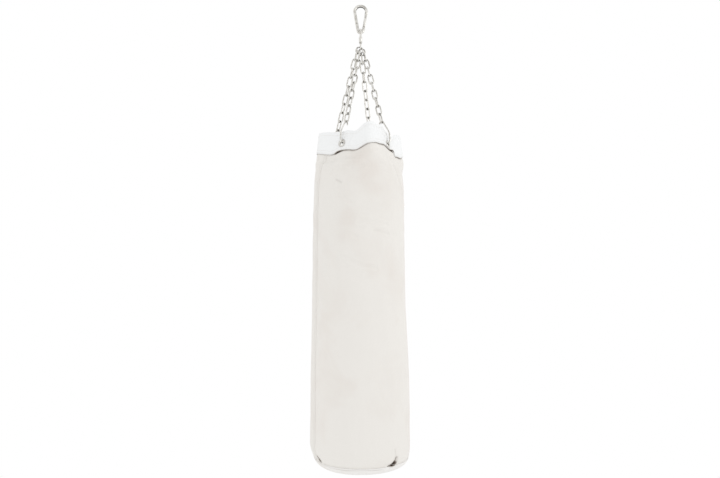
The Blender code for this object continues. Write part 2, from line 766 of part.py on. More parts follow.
def flat_radius(index):
    """The distance from the axis to the collar's flat at the grommet.

    The lower curl of the S hook is centred on the collar's wall.
    """
    return ATTACHMENTS[index][2] + S_REACH + COLLAR_THICK / 2


@functools.cache
def rim_down():
    """The rim's height below the origin at the collar's rounded corners.

    The hooks set the height of the holes, and the collar and the body hang from them.
    """
    holes = [hole_level(index) for index in range(len(ATTACHMENTS))]
    return -sum(holes) / len(holes) - RIM_ABOVE_HOLES


def base_seam_down():
    return rim_down() + STATIONS[-1][0]


def grommet_matrix(index):
    """The grommet's axis is square to the leaning flat of the collar."""
    azimuth = ATTACHMENTS[index][1]
    lean = math.atan(COLLAR_LEAN)
    axis = outward(azimuth) * math.cos(lean) + Vector((0, 0, math.sin(lean)))
    side = sideways(azimuth)
    matrix = Matrix((side, axis.cross(side), axis)).transposed().to_4x4()
    level = hole_level(index)
    middle = outward(azimuth) * collar_plan(azimuth, level, CORNER_RADIUS)
    middle.z = level
    matrix.translation = middle - axis * COLLAR_THICK / 2
    return matrix


def build_hooks_and_grommets(pivot):
    hook_curve = wire_curve("s_hook", s_hook_points(), S_BAR / 2, False, WIRE_BEVEL_STEPS)
    wall = COLLAR_THICK / 2 + GAP
    face = wall + GROMMET_PLATE
    lip = GROMMET_HOLE + GROMMET_LIP
    bevel = GROMMET_FLANGE - GROMMET_BEVEL
    grommet_profile = [
        (GROMMET_HOLE, wall), (lip, face), (bevel, face), (GROMMET_FLANGE, wall),
        (GROMMET_NECK, wall), (GROMMET_NECK, -wall), (GROMMET_FLANGE, -wall), (bevel, -face),
        (lip, -face), (GROMMET_HOLE, -wall),
    ]
    grommet_mesh = turned_mesh("grommet", grommet_profile, True)
    for index, (name, _, _, _) in enumerate(ATTACHMENTS):
        put(hook_curve, "s_hook_" + name, PLATED, PARTS, hook_matrix(index), pivot)
        grommet = put(
            grommet_mesh, "grommet_" + name, PLATED, PARTS, grommet_matrix(index), pivot
        )
        add_screw(grommet, TURN_STEPS)


# Cloth parts

def collar_plan(azimuth, level, corner):
    """The collar's outline in plan: four flats, and full corners within the corner radius."""
    total = (1.0 / corner) ** SQUARENESS
    for index, (_, place, _, _) in enumerate(ATTACHMENTS):
        facing = math.cos(azimuth - place)
        if facing > 0.0:
            flat = flat_radius(index) + COLLAR_LEAN * (hole_level(index) - level)
            total += (facing / flat) ** SQUARENESS
    return total ** (-1.0 / SQUARENESS) + CORNER_FULLNESS * (1 - pulled_in(azimuth)) ** 2


def wrap(angle):
    return (angle + math.pi) % (2 * math.pi) - math.pi


def pulled_in(azimuth):
    """1 where a hook pulls the collar in, 0 at the rounded corners between."""
    nearest = min(abs(wrap(azimuth - place)) for _, place, _, _ in ATTACHMENTS)
    return math.cos(2 * min(nearest, math.pi / 4)) ** 2


def edge_rise(azimuth, dip, waves):
    """How far an edge of the collar stands above its mean level: its tilt, dips and waves."""
    rise = CORNER_RADIUS * math.sin(azimuth) * math.tan(COLLAR_TILT) - dip * pulled_in(azimuth)
    return rise + sum(
        height * math.exp(-(wrap(azimuth - place) / width) ** 2) for place, height, width in waves
    )


def rim_level(azimuth):
    return -rim_down() + edge_rise(azimuth, RIM_DIP, RIM_WAVES)


def seam_level(azimuth):
    return -rim_down() - COLLAR_HEIGHT + edge_rise(azimuth, SEAM_DIP, SEAM_WAVES)


def outline_point(radius_at, azimuth, inset=0.0):
    """A point of an outline in plan, moved in by the inset, square to the outline."""
    step = 0.001
    here, before, after = [
        outward(a) * radius_at(a) for a in (azimuth, azimuth - step, azimuth + step)
    ]
    along = (after - before).normalized()
    return here - Vector((along.y, -along.x, 0.0)) * inset


def azimuths(columns):
    """Columns round the bag, the first on the seam of the body."""
    return [SEAM_AZIMUTH + 2 * math.pi * i / columns for i in range(columns)]


def loft(name, rings, cap_first=False, cap_last=False):
    """Faces between rings of points, listed from the top down, with optional flat ends."""
    mesh = bpy.data.meshes.new(name)
    work = bmesh.new()
    rows = [[work.verts.new(point) for point in ring] for ring in rings]
    for upper, lower in zip(rows, rows[1:]):
        count = len(upper)
        for i in range(count):
            k = (i + 1) % count
            work.faces.new((upper[i], lower[i], lower[k], upper[k]))
    for wanted, row in ((cap_first, rows[0]), (cap_last, rows[-1])):
        if wanted:
            middle = sum((vert.co for vert in row), Vector()) / len(row)
            hub = work.verts.new(middle)
            for i in range(len(row)):
                work.faces.new((row[i], row[(i + 1) % len(row)], hub))
    bmesh.ops.recalc_face_normals(work, faces=work.faces)
    work.to_mesh(mesh)
    work.free()
    shade_smooth(mesh)
    return mesh


def add_wall(obj, thickness):
    """A wall of this thickness inside the open surface."""
    solid = obj.modifiers.new("wall", "SOLIDIFY")
    solid.thickness = thickness
    solid.offset = -1.0
    solid.use_even_offset = True
    return solid


def collar_point(azimuth, level, inset=0.0, corner=CORNER_RADIUS):
    """A point of the collar's plan at this level, or of a like plan with another corner radius."""
    place = outline_point(lambda a: collar_plan(a, level, corner), azimuth, inset)
    return place + Vector((0.0, 0.0, level))


def build_collar(pivot):
    rings = []
    for row in range(COLLAR_ROWS):
        share = row / (COLLAR_ROWS - 1)
        rings.append([
            collar_point(a, rim_level(a) * (1 - share) + seam_level(a) * share)
            for a in azimuths(COLUMNS)
        ])
    collar = put(loft("collar_band", rings), "collar_band", WHITE_CANVAS, PARTS, parent=pivot)
    add_wall(collar, COLLAR_THICK)
    for index, (name, _, _, _) in enumerate(ATTACHMENTS):
        punch = put_cutter(
            cylinder_mesh("punch", GROMMET_NECK + GAP, THROUGH, TURN_STEPS),
            "punch_" + name, grommet_matrix(index),
        )
        add_boolean(collar, punch, "DIFFERENCE")


def smooth_between(values, share):
    """A smooth curve through four values, between the second and the third."""
    before, here, following, after = values
    return 0.5 * (
        2 * here + (following - before) * share
        + (2 * before - 5 * here + 4 * following - after) * share ** 2
        + (3 * here - before - 3 * following + after) * share ** 3
    )


def body_at(down):
    """Radius, shift and roundness of the body at this height below the origin."""
    stations = [(rim_down() + drop, *shape) for drop, *shape in STATIONS]
    for i in range(len(stations) - 1):
        if down <= stations[i + 1][0] or i == len(stations) - 2:
            break
    picked = [stations[max(0, i - 1)], stations[i], stations[i + 1]]
    picked.append(stations[min(len(stations) - 1, i + 2)])
    share = (down - stations[i][0]) / (stations[i + 1][0] - stations[i][0])
    share = min(1.0, max(0.0, share))
    return [smooth_between([station[k] for station in picked], share) for k in (1, 2, 3)]


def body_point(azimuth, down, inset=0.0):
    """A point of the body's outer face at this height below the origin, moved in by the inset."""
    radius, shift, roundness = body_at(down)

    def radius_at(a):
        return collar_plan(a, -down, radius) * (1 - roundness) + radius * roundness

    return outline_point(radius_at, azimuth, inset) + Vector((shift, 0.0, -down))


def body_rows():
    """How the body's outer face runs from inside the collar down: a function of azimuth a row."""
    def tucked(rise):
        return lambda a, inset=0.0: collar_point(a, seam_level(a) + rise, inset + tuck)

    def swell(offset, tuck):
        return lambda a, inset=0.0: collar_point(
            a, seam_level(a) - offset, inset + tuck, BULGE_RADIUS
        )

    def level(down):
        return lambda a, inset=0.0: body_point(a, down, inset)

    tuck = COLLAR_THICK + LAP_GAP
    top = [tucked(LAP_UP), tucked(-tuck), swell(BULGE_DOWN / 2, tuck * HALF_SWELL)]
    return top + [swell(BULGE_DOWN, 0.0)] + [level(rim_down() + station[0]) for station in STATIONS]


def body_face(azimuth, down, inset):
    """The point of the body's face between its rows at this height, moved in by the inset."""
    points = [row(azimuth, inset) for row in body_rows()]
    for upper, lower in zip(points, points[1:]):
        if lower.z <= -down:
            return upper.lerp(lower, (upper.z + down) / (upper.z - lower.z))
    return points[-1]


def build_body(pivot):
    """The canvas tube, from inside the collar down to the base seam."""
    rings = [[row(a) for a in azimuths(COLUMNS)] for row in body_rows()]
    body = put(loft("canvas_body", rings), "canvas_body", CANVAS, PARTS, parent=pivot)
    add_wall(body, CANVAS_THICK)


def base_profile():
    """The base panel's outer face as radius and height below the origin, from the seam down."""
    edge_down, edge_radius = base_seam_down() + SEAM_GAP, STATIONS[-1][1]
    base_down = base_seam_down() + BASE_DEPTH
    first, steps = math.radians(10.0), 5
    points = []
    for i in range(steps + 1):
        turn = first + (math.pi / 2 - first) * i / steps
        out = math.cos(turn) / math.cos(first)
        deep = (math.sin(turn) - math.sin(first)) / (1 - math.sin(first))
        points.append((
            BASE_FLAT_RADIUS + (edge_radius - BASE_FLAT_RADIUS) * out,
            edge_down + (base_down - edge_down) * deep,
        ))
    return points


def base_ring(radius, down, columns):
    shift = STATIONS[-1][2]
    return [outward(a) * radius + Vector((shift, 0.0, -down)) for a in azimuths(columns)]


def build_base(pivot):
    rings = [base_ring(radius, down, COLUMNS) for radius, down in base_profile()]
    panel = loft("base_panel", rings, cap_last=True)
    base = put(panel, "base_panel", CANVAS, PARTS, parent=pivot)
    add_wall(base, BASE_THICK)


def build_inside(pivot):
    """The cover over the mouth of the bag and the packed filling under it."""
    inset = CANVAS_THICK + SEW_GAP
    cover_top = rim_down() + COLLAR_HEIGHT + COVER_DOWN
    cover = [
        [body_face(a, down, inset + COVER_CLEAR) for a in azimuths(COLUMNS)]
        for down in (cover_top, cover_top + COVER_THICK)
    ]
    put(
        loft("top_cover", cover, True, True), "top_cover", WHITE_CANVAS, PARTS, parent=pivot
    )
    filling_top = cover_top + COVER_THICK + SEW_GAP
    below_collar = body_rows()[-len(STATIONS) - 1:-1]
    slacks = [FILLING_SHOULDER] * 3 + [0.0] * (len(STATIONS) - 3)
    rings = [[
        body_face(a, filling_top, inset + FILLING_SLACK) for a in azimuths(FILLING_COLUMNS)
    ]]
    rings += [
        [row(a, inset + slack) for a in azimuths(FILLING_COLUMNS)]
        for row, slack in zip(below_collar, slacks)
    ]
    floor = BASE_THICK + SEW_GAP
    for radius, down in base_profile()[1:]:
        rings.append(base_ring(radius - floor, down - floor, FILLING_COLUMNS))
    put(loft("filling", rings, True, True), "filling", FILLING, PARTS, parent=pivot)


def build_lap_seam(pivot):
    """A felled seam: a strip of canvas sewn flat on the body, from top to bottom."""
    rings = []
    rows = body_rows()[-len(STATIONS) - 1:-1]
    clears = [SEAM_CORNER_CLEAR] * 2 + [SEAM_CLEAR] * (len(rows) - 2)
    for row, clear in zip(rows, clears):
        middle = row(SEAM_AZIMUTH)
        half_angle = SEAM_WIDTH / 2 / Vector((middle.x, middle.y)).length
        strip = [(side, clear) for side in (-1, 0, 1)]
        strip += [(side, clear + SEAM_THICK) for side in (1, 0, -1)]
        rings.append([row(SEAM_AZIMUTH + side * half_angle, -lift) for side, lift in strip])
    put(loft("side_seam", rings, True, True), "side_seam", CANVAS, PARTS, parent=pivot)


def build():
    build_snap_hook()
    build_swivel()
    pivot = marker("bag_pivot", Matrix.Translation((0.0, 0.0, swivel_levels()["stirrup_foot"])))
    build_rings_and_chains(pivot)
    build_hooks_and_grommets(pivot)
    build_collar(pivot)
    build_body(pivot)
    build_base(pivot)
    build_inside(pivot)
    build_lap_seam(pivot)


clear_scene()
PARTS = make_collection(OBJECT_NAME)
CUTTERS = make_collection("cutters")
PLATED = make_material("plated_steel", (0.72, 0.72, 0.71), 0.22, 1.0)
BRASS = make_material("washer_brass", (0.70, 0.52, 0.22), 0.35, 1.0)
WHITE_CANVAS = make_material("collar_canvas", (0.86, 0.86, 0.86), 0.90, 0.0)
CANVAS = make_material("body_canvas", (0.80, 0.78, 0.74), 0.92, 0.0)
FILLING = make_material("textile_filling", (0.45, 0.43, 0.42), 1.0, 0.0)
build()
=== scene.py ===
"""Looks of the hanging canvas punching bag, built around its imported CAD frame.

The bag hangs from the inside of the snap hook's top bow, which is the origin. +Z is up and the
side that faces the camera is -Y. An azimuth is measured seen from above, from the front (-Y)
towards the right (+X), and a height called down is measured downwards from the origin. All lengths
are in metres.
"""

import logging
from dataclasses import dataclass
from enum import Enum
from math import asin, atan, atan2, cos, exp, hypot, pi, radians, sin, tan, tau

import bmesh
import bpy
import numpy as np
from bpy.types import Material, Mesh, Node, NodeSocket, NodeTree, Object, bpy_prop_collection
from mathutils import Matrix, Quaternion, Vector, noise
from mathutils.bvhtree import BVHTree


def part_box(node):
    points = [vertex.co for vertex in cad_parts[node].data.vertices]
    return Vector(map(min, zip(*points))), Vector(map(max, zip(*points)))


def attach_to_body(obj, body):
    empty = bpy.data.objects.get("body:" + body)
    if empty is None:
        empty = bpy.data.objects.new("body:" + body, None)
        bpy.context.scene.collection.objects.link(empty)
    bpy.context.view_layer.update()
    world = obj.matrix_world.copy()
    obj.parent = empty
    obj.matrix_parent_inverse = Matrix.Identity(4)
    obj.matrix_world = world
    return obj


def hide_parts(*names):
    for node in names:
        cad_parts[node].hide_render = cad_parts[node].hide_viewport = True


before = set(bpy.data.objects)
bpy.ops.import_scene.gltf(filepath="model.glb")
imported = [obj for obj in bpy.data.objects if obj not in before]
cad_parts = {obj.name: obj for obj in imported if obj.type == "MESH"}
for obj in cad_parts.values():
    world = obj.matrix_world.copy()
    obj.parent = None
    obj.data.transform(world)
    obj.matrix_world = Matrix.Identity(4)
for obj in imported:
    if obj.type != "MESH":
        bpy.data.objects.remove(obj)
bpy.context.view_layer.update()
LOG = logging.getLogger("punching_bag")
QUARTER = pi / 2
ACROSS = Matrix.Rotation(QUARTER, 4, "X")  # lays a part that stands along Z front to back
GAP = 0.0003        # running gap between pieces of metal
THROUGH = 0.020     # a cutter this long runs right through a bar or the collar
TOUCHING = 1e-7     # points nearer than this are one
TURNED_EDGE, CUT_EDGE, BEVELLED_EDGE = [radians(a) for a in (38.0, 42.0, 50.0)]
HUB_BEYOND = 0.05   # in the UV map the hub of a fan lies this far past its ring
WHITE = (1.0, 1.0, 1.0, 1.0)
GEOMETRY, MATERIAL, VECTOR = "NodeSocketGeometry", "NodeSocketMaterial", "NodeSocketVector"
FLOAT = "NodeSocketFloat"
PLAIN_SOCKETS = {float: FLOAT, int: "NodeSocketInt", bool: "NodeSocketBool"}


class Body(Enum):
    """The CAD bodies that pieces ride on."""

    HOOK = "snap_hook"
    GATE = "gate"
    EYE = "swivel_upper"
    SHANK = "swivel_lower"
    BAG = "bag"


class Slot(Enum):
    """The record's material slots that new pieces stand for."""

    PLATED = "plated_steel"
    COLLAR = "collar_canvas"
    CANVAS = "body_canvas"


class Shape(Enum):
    """What a geometry tree makes."""

    BAR = "bent_bar"
    CHAIN = "chain_of_links"
    STITCHES = "stitch_row"


class Operation(Enum):
    """How a tool works on a piece."""

    JOIN = "UNION"
    CUT = "DIFFERENCE"


# Node trees


class Graph:
    """Adds nodes to a tree and joins them, so that a tree reads as a list of short lines."""

    def __init__(self, tree: NodeTree) -> None:
        """Keep the tree that the nodes go into."""
        self.tree = tree
        self.count = 0

    def feed(self, node: Node, values: dict) -> None:
        """Fill a node's inputs.

        Args:
            node: the node.
            values: for an input's name or number a value, a socket, or a node, which stands for
                its first output.
        """
        for key, value in values.items():
            if isinstance(value, Node):
                value = value.outputs[0]
            if isinstance(value, NodeSocket):
                self.tree.links.new(value, node.inputs[key])
            else:
                node.inputs[key].default_value = value

    def node(self, kind: str, values: dict | None = None, **settings: object) -> Node:
        """Add a node.

        Args:
            kind: its type.
            values: its inputs, as feed takes them.
            settings: its own properties.

        Returns:
            The new node.
        """
        node = self.tree.nodes.new(kind)
        node.location = (220 * (self.count % 10), -280 * (self.count // 10))
        self.count += 1
        for name, value in settings.items():
            setattr(node, name, value)
        self.feed(node, values or {})
        return node

    def math(self, operation: str, *values: object, clamp: bool = False) -> Node:
        """Work out one number from others."""
        return self.node("ShaderNodeMath", dict(enumerate(values)), operation=operation,
                         use_clamp=clamp)

    def ramp(self, value: object, *limits: float) -> Node:
        """Map a value smoothly from low and high to two results, which are 0 and 1 if left out."""
        values = {0: value, **dict(enumerate(limits, start=1))}
        return self.node("ShaderNodeMapRange", values, interpolation_type="SMOOTHSTEP")

    def mix(self, share: object, first: object, second: object) -> NodeSocket:
        """Mix this share of the second colour into the first."""
        values = {0: share, 6: first, 7: second}
        return self.node("ShaderNodeMix", values, data_type="RGBA").outputs[2]

    def cloud(self, vector: object, scale: object, **values: float) -> Node:
        """A noise texture, its other inputs by their names in small letters."""
        named = {name.capitalize(): value for name, value in values.items()}
        return self.node("ShaderNodeTexNoise", {"Vector": vector, "Scale": scale, **named})

    def length(self, vector: object) -> NodeSocket:
        """The length of a vector."""
        return self.node("ShaderNodeVectorMath", {0: vector}, operation="LENGTH").outputs["Value"]

    def painted(self, name: str) -> NodeSocket:
        """A number that the mesh holds for each point, read by a material."""
        return self.node("ShaderNodeAttribute", attribute_name=name).outputs["Fac"]

    def held(self, name: str, kind: str) -> Node:
        """A value of this kind that the mesh holds for each point, read by a geometry tree."""
        return self.node("GeometryNodeInputNamedAttribute", {0: name}, data_type=kind)

    def group(self, tree: NodeTree, **values: object) -> bpy_prop_collection:
        """Place a shader group with these inputs and give its outputs."""
        return self.node("ShaderNodeGroup", values, node_tree=tree).outputs

    def close(self, **results: object) -> NodeTree:
        """Join a group's results to its outputs and give its tree."""
        self.feed(self.node("NodeGroupOutput"), results)
        return self.tree


def group_tree(name: str, kind: str, inputs: dict,
               **outputs: str) -> tuple[Graph, bpy_prop_collection]:
    """A new node group with named inputs and outputs.

    Args:
        name: the group's name.
        kind: the tree's type.
        inputs: for each input its default value, or its socket type if it has none.
        outputs: each output's socket type.

    Returns:
        The graph to add nodes with, and the inputs as sockets.
    """
    tree = bpy.data.node_groups.new(name, kind)
    for label, value in inputs.items():
        bare = isinstance(value, str)
        socket = tree.interface.new_socket(
            name=label, in_out="INPUT", socket_type=value if bare else PLAIN_SOCKETS[type(value)])
        if not bare:
            socket.default_value = value
    for label, socket_type in outputs.items():
        tree.interface.new_socket(name=label, in_out="OUTPUT", socket_type=socket_type)
    graph = Graph(tree)
    return graph, graph.node("NodeGroupInput").outputs


class ShapeTrees:
    """The geometry trees that make bent bars, chains and rows of stitches."""

    def __init__(self) -> None:
        """Build each tree once."""
        self.trees = {Shape.BAR: self.bent_bar(), Shape.CHAIN: self.chain(),
                      Shape.STITCHES: self.stitch_row()}

    @staticmethod
    def close_tree(graph: Graph, mesh: Node, material: NodeSocket) -> NodeTree:
        """End a tree in smooth faces, Realize Instances and Set Material.

        Args:
            graph: the tree's graph.
            mesh: the node that gives the shape.
            material: the tree's input for the finish.

        Returns:
            The finished tree.
        """
        smooth = graph.node("GeometryNodeSetShadeSmooth", {0: mesh})
        real = graph.node("GeometryNodeRealizeInstances", {0: smooth})
        return graph.close(Mesh=graph.node("GeometryNodeSetMaterial", {0: real, 2: material}))

    @staticmethod
    def placed(graph: Graph, points: object, piece: Node, axes: str, *directions: Node) -> Node:
        """Put a piece on each point, turned.

        Args:
            graph: the tree's graph.
            points: where the pieces go.
            piece: the node that gives one piece.
            axes: the two axes of the piece that follow the directions, such as YX.
            directions: the nodes that give the two directions at each point.

        Returns:
            The node that gives the placed pieces.
        """
        turn = graph.node("FunctionNodeAxesToRotation", dict(enumerate(directions)),
                          primary_axis=axes[0], secondary_axis=axes[1])
        return graph.node("GeometryNodeInstanceOnPoints",
                          {"Points": points, "Instance": piece, "Rotation": turn})

    def bent_bar(self) -> NodeTree:
        """A round bar along a polyline, its thickness scaled by the attribute swell.

        Returns:
            The tree.
        """
        graph, given = group_tree(
            "bent_bar", "GeometryNodeTree",
            {"Path": GEOMETRY, "Radius": 0.002, "Sides": 16, "Caps": True, "Material": MATERIAL},
            Mesh=GEOMETRY)
        line = graph.node("GeometryNodeMeshToCurve", {0: given["Path"]})
        ring = graph.node("GeometryNodeCurvePrimitiveCircle",
                          {"Resolution": given["Sides"], "Radius": given["Radius"]})
        bar = graph.node("GeometryNodeCurveToMesh",
                         {0: line, 1: ring, 2: graph.held("swell", "FLOAT"), 3: given["Caps"]})
        return self.close_tree(graph, bar, given["Material"])

    def chain(self) -> NodeTree:
        """A link on each point, with a weld on one side and painted shade inside its bows, where
        the next link bears.

        The attributes along and across turn each link.

        Returns:
            The tree.
        """
        graph, given = group_tree(
            "chain_of_links", "GeometryNodeTree",
            {"Places": GEOMETRY, "Bar": 0.0048, "Width": 0.02, "Length": 0.04, "Steps": 44,
             "Sides": 14, "Weld": 0.08, "Material": MATERIAL}, Mesh=GEOMETRY)
        bar = given["Bar"]
        half_bar = graph.math("MULTIPLY", bar, 0.5)
        width, length = [graph.math("SUBTRACT", given[key], bar) for key in ("Width", "Length")]
        frame = graph.node("GeometryNodeCurvePrimitiveQuadrilateral",
                           {"Width": width, "Height": length})
        rounded = graph.node(
            "GeometryNodeFilletCurve", {0: frame, "Count": 12, "Limit Radius": True,
                                        "Radius": graph.math("MULTIPLY", width, 0.4995)},
            mode="POLY")
        path = graph.node("GeometryNodeResampleCurve", {0: rounded, "Count": given["Steps"]})
        ring = graph.node("GeometryNodeCurvePrimitiveCircle",
                          {"Resolution": given["Sides"], "Radius": half_bar})
        x, y, z = graph.node("ShaderNodeSeparateXYZ",
                             {0: graph.node("GeometryNodeInputPosition")}).outputs
        along = graph.math("ABSOLUTE", y)
        near = graph.ramp(along, 0.0006, 0.0028, 1.0, 0.0)
        weld = graph.math("MULTIPLY", graph.math("MULTIPLY", near,
                                                 graph.math("GREATER_THAN", x, 0.0)),
                          given["Weld"])
        bare = graph.node("GeometryNodeCurveToMesh",
                          {0: path, 1: ring, 2: graph.math("ADD", weld, 1.0)})
        # painted shade: a dark mark inside each bow, where the next link bears
        reach = graph.math("SUBTRACT", graph.math("MULTIPLY", length, 0.5), half_bar)
        far = graph.length(graph.node(
            "ShaderNodeCombineXYZ",
            {0: graph.math("MULTIPLY", x, 0.8), 1: graph.math("SUBTRACT", along, reach), 2: z}))
        link = graph.node(
            "GeometryNodeStoreNamedAttribute",
            {0: bare, 2: "painted_contact_shade", 3: graph.ramp(far, 0.0026, 0.0058, 1.0, 0.0)},
            data_type="FLOAT", domain="POINT")
        links = self.placed(graph, given["Places"], link, "YX",
                            *[graph.held(name, "FLOAT_VECTOR") for name in ("along", "across")])
        return self.close_tree(graph, links, given["Material"])

    def stitch_row(self) -> NodeTree:
        """Bowed stitches along polylines, standing on the cloth by the attribute facing.

        Returns:
            The tree.
        """
        graph, given = group_tree(
            "stitch_row", "GeometryNodeTree",
            {"Lines": GEOMETRY, "Pitch": 0.0045, "Length": 0.0034, "Thread": 0.0004,
             "Material": MATERIAL}, Mesh=GEOMETRY)
        line = graph.node("GeometryNodeMeshToCurve", {0: given["Lines"]})
        places = graph.node("GeometryNodeResampleCurve", {0: line, "Length": given["Pitch"]},
                            mode="LENGTH")
        half = graph.math("MULTIPLY", given["Length"], 0.5)
        sunk, proud = [graph.math("MULTIPLY", given["Thread"], share) for share in (-0.9, 1.9)]
        start, middle, end = [
            graph.node("ShaderNodeCombineXYZ", {0: graph.math("MULTIPLY", half, sign), 2: height})
            for sign, height in ((-1.0, sunk), (0.0, proud), (1.0, sunk))]
        bow = graph.node("GeometryNodeCurveQuadraticBezier",
                         {"Resolution": 4, "Start": start, "Middle": middle, "End": end})
        ring = graph.node("GeometryNodeCurvePrimitiveCircle",
                          {"Resolution": 5, "Radius": given["Thread"]})
        stitch = graph.node("GeometryNodeCurveToMesh", {0: bow, 1: ring, 3: True})
        stitches = self.placed(graph, places, stitch, "XZ", graph.node("GeometryNodeInputTangent"),
                               graph.held("facing", "FLOAT_VECTOR"))
        return self.close_tree(graph, stitches, given["Material"])

    def run(self, kind: Shape, mesh: Mesh, **values: object) -> Object:
        """Run a tree on a mesh and keep the result as a plain mesh.

        Args:
            kind: which tree.
            mesh: the points or polylines that the tree reads, with the new piece's name.
            values: the tree's inputs, by name.

        Returns:
            The new piece, at the origin, with no modifier.
        """
        piece = link_object(mesh.name, mesh)
        modifier = piece.modifiers.new("shape", "NODES")
        modifier.node_group = self.trees[kind]
        for item in modifier.node_group.interface.items_tree:
            if item.in_out == "INPUT" and item.name in values:
                modifier[item.identifier] = values[item.name]
        return settle(piece)


# Finishes


class Effects:
    """Shader groups that more than one finish uses."""

    def __init__(self) -> None:
        """Build each group once."""
        self.weave = self.build_weave()
        self.blotches = self.build_blotches()
        self.wear = self.build_wear()

    @staticmethod
    def build_weave() -> NodeTree:
        """Plain canvas weave over a UV map in metres: the threads' height and a slub mask.

        Returns:
            The group.
        """
        graph, given = group_tree(
            "canvas_weave", "ShaderNodeTree", {"Vector": VECTOR, "Pitch": 0.0011, "Slub": 0.5},
            Height=FLOAT, Slubs=FLOAT)
        parts = graph.node("ShaderNodeSeparateXYZ", {0: given["Vector"]})
        rate = graph.math("DIVIDE", pi, given["Pitch"])
        waves = [graph.math("SINE", graph.math("MULTIPLY", parts.outputs[i], rate)) for i in (0, 1)]
        over = graph.math("MULTIPLY", *waves)
        threads = [
            graph.math("MULTIPLY", graph.math("POWER", graph.math("ABSOLUTE", wave), 0.6),
                       graph.ramp(over, -0.5, 0.5, *ends))
            for wave, ends in zip(waves, ((0.35, 1.0), (1.0, 0.35)))]
        slubs = []
        for stretch in ((55.0, 1600.0, 1.0), (1600.0, 55.0, 1.0)):
            scaled = graph.node("ShaderNodeMapping", {0: given["Vector"], "Scale": stretch})
            slubs.append(graph.ramp(graph.cloud(scaled, 1.0, detail=1.0), 0.62, 0.78))
        slub = graph.math("MAXIMUM", *slubs)
        height = graph.math("ADD", graph.math("MAXIMUM", *threads),
                            graph.math("MULTIPLY", slub, given["Slub"]))
        return graph.close(Height=height, Slubs=slub)

    @staticmethod
    def build_blotches() -> NodeTree:
        """Soft stains and small marks in a solid pattern.

        Returns:
            The group.
        """
        graph, given = group_tree(
            "soft_blotches", "ShaderNodeTree", {"Vector": VECTOR, "Scale": 6.0, "Seed": 0.0},
            Cloud=FLOAT, Marks=FLOAT)
        step = graph.node("ShaderNodeCombineXYZ", {0: given["Seed"], 1: given["Seed"]})
        place = graph.node("ShaderNodeVectorMath", {0: given["Vector"], 1: step}, operation="ADD")
        cloud = graph.cloud(place, given["Scale"], detail=4.0, roughness=0.55, distortion=0.6)
        marks = graph.cloud(place, graph.math("MULTIPLY", given["Scale"], 5.0), detail=5.0,
                            roughness=0.7)
        return graph.close(Cloud=graph.ramp(cloud, 0.45, 0.75), Marks=graph.ramp(marks, 0.62, 0.8))

    @staticmethod
    def build_wear() -> NodeTree:
        """Handling wear on plated metal: duller patches and fine scratches.

        Returns:
            The group.
        """
        graph, given = group_tree(
            "metal_wear", "ShaderNodeTree", {"Vector": VECTOR, "Patches": 90.0, "Scratches": 900.0},
            Dull=FLOAT, Scratch=FLOAT)
        patches = graph.cloud(given["Vector"], given["Patches"], detail=3.0)
        stretched = graph.node("ShaderNodeMapping", {0: given["Vector"], "Scale": (1.0, 1.0, 0.12)})
        scratches = graph.cloud(stretched, given["Scratches"], detail=2.0)
        return graph.close(Dull=graph.ramp(patches, 0.4, 0.7),
                           Scratch=graph.ramp(scratches, 0.55, 0.7))


def linear(*tone: float) -> tuple[float, float, float, float]:
    """A colour as a picture shows it, 0 to 255, as Blender's linear colour.

    Args:
        tone: red, green and blue.

    Returns:
        The linear colour with alpha 1.
    """
    shares = [value / 255 for value in tone]
    return (*[share / 12.92 if share <= 0.04045 else ((share + 0.055) / 1.055) ** 2.4
              for share in shares], 1.0)


def new_material(name: str) -> tuple[Material, Graph, Node]:
    """A new node material.

    Args:
        name: its name.

    Returns:
        The material, its graph and its Principled shader.
    """
    material = bpy.data.materials.new(name)
    material.use_nodes = True
    return material, Graph(material.node_tree), material.node_tree.nodes["Principled BSDF"]


@dataclass(frozen=True)
class MetalFinish:
    """A metal with fine wear, and painted shade, nearly black, where a point attribute marks the
    touching points.
    """

    name: str
    colour: tuple
    dull_colour: tuple
    roughness: float
    worn_roughness: float
    contact_shade_colour: tuple = (0.045, 0.042, 0.038, 1.0)
    scratch: float = 0.00002

    def build(self, effects: Effects) -> Material:
        """Make the material.

        Args:
            effects: the shader groups.

        Returns:
            The material.
        """
        material, graph, shader = new_material(self.name)
        place = graph.node("ShaderNodeTexCoord").outputs["Object"]
        worn = graph.group(effects.wear, Vector=place)
        colour = graph.mix(worn["Dull"], linear(*self.colour), linear(*self.dull_colour))
        gloss = graph.ramp(worn["Dull"], 0.0, 1.0, self.roughness, self.worn_roughness)
        bump = graph.node("ShaderNodeBump", {"Height": worn["Scratch"], "Distance": self.scratch,
                                             "Strength": 0.3})
        # painted shade: the colour goes nearly black where the touching points are marked
        graph.feed(shader, {
            "Base Color": graph.mix(graph.painted("painted_contact_shade"), colour, self.contact_shade_colour),
            "Roughness": graph.math("ADD", gloss, graph.math("MULTIPLY", worn["Scratch"], 0.06)),
            "Normal": bump, "Metallic": 1.0})
        return material


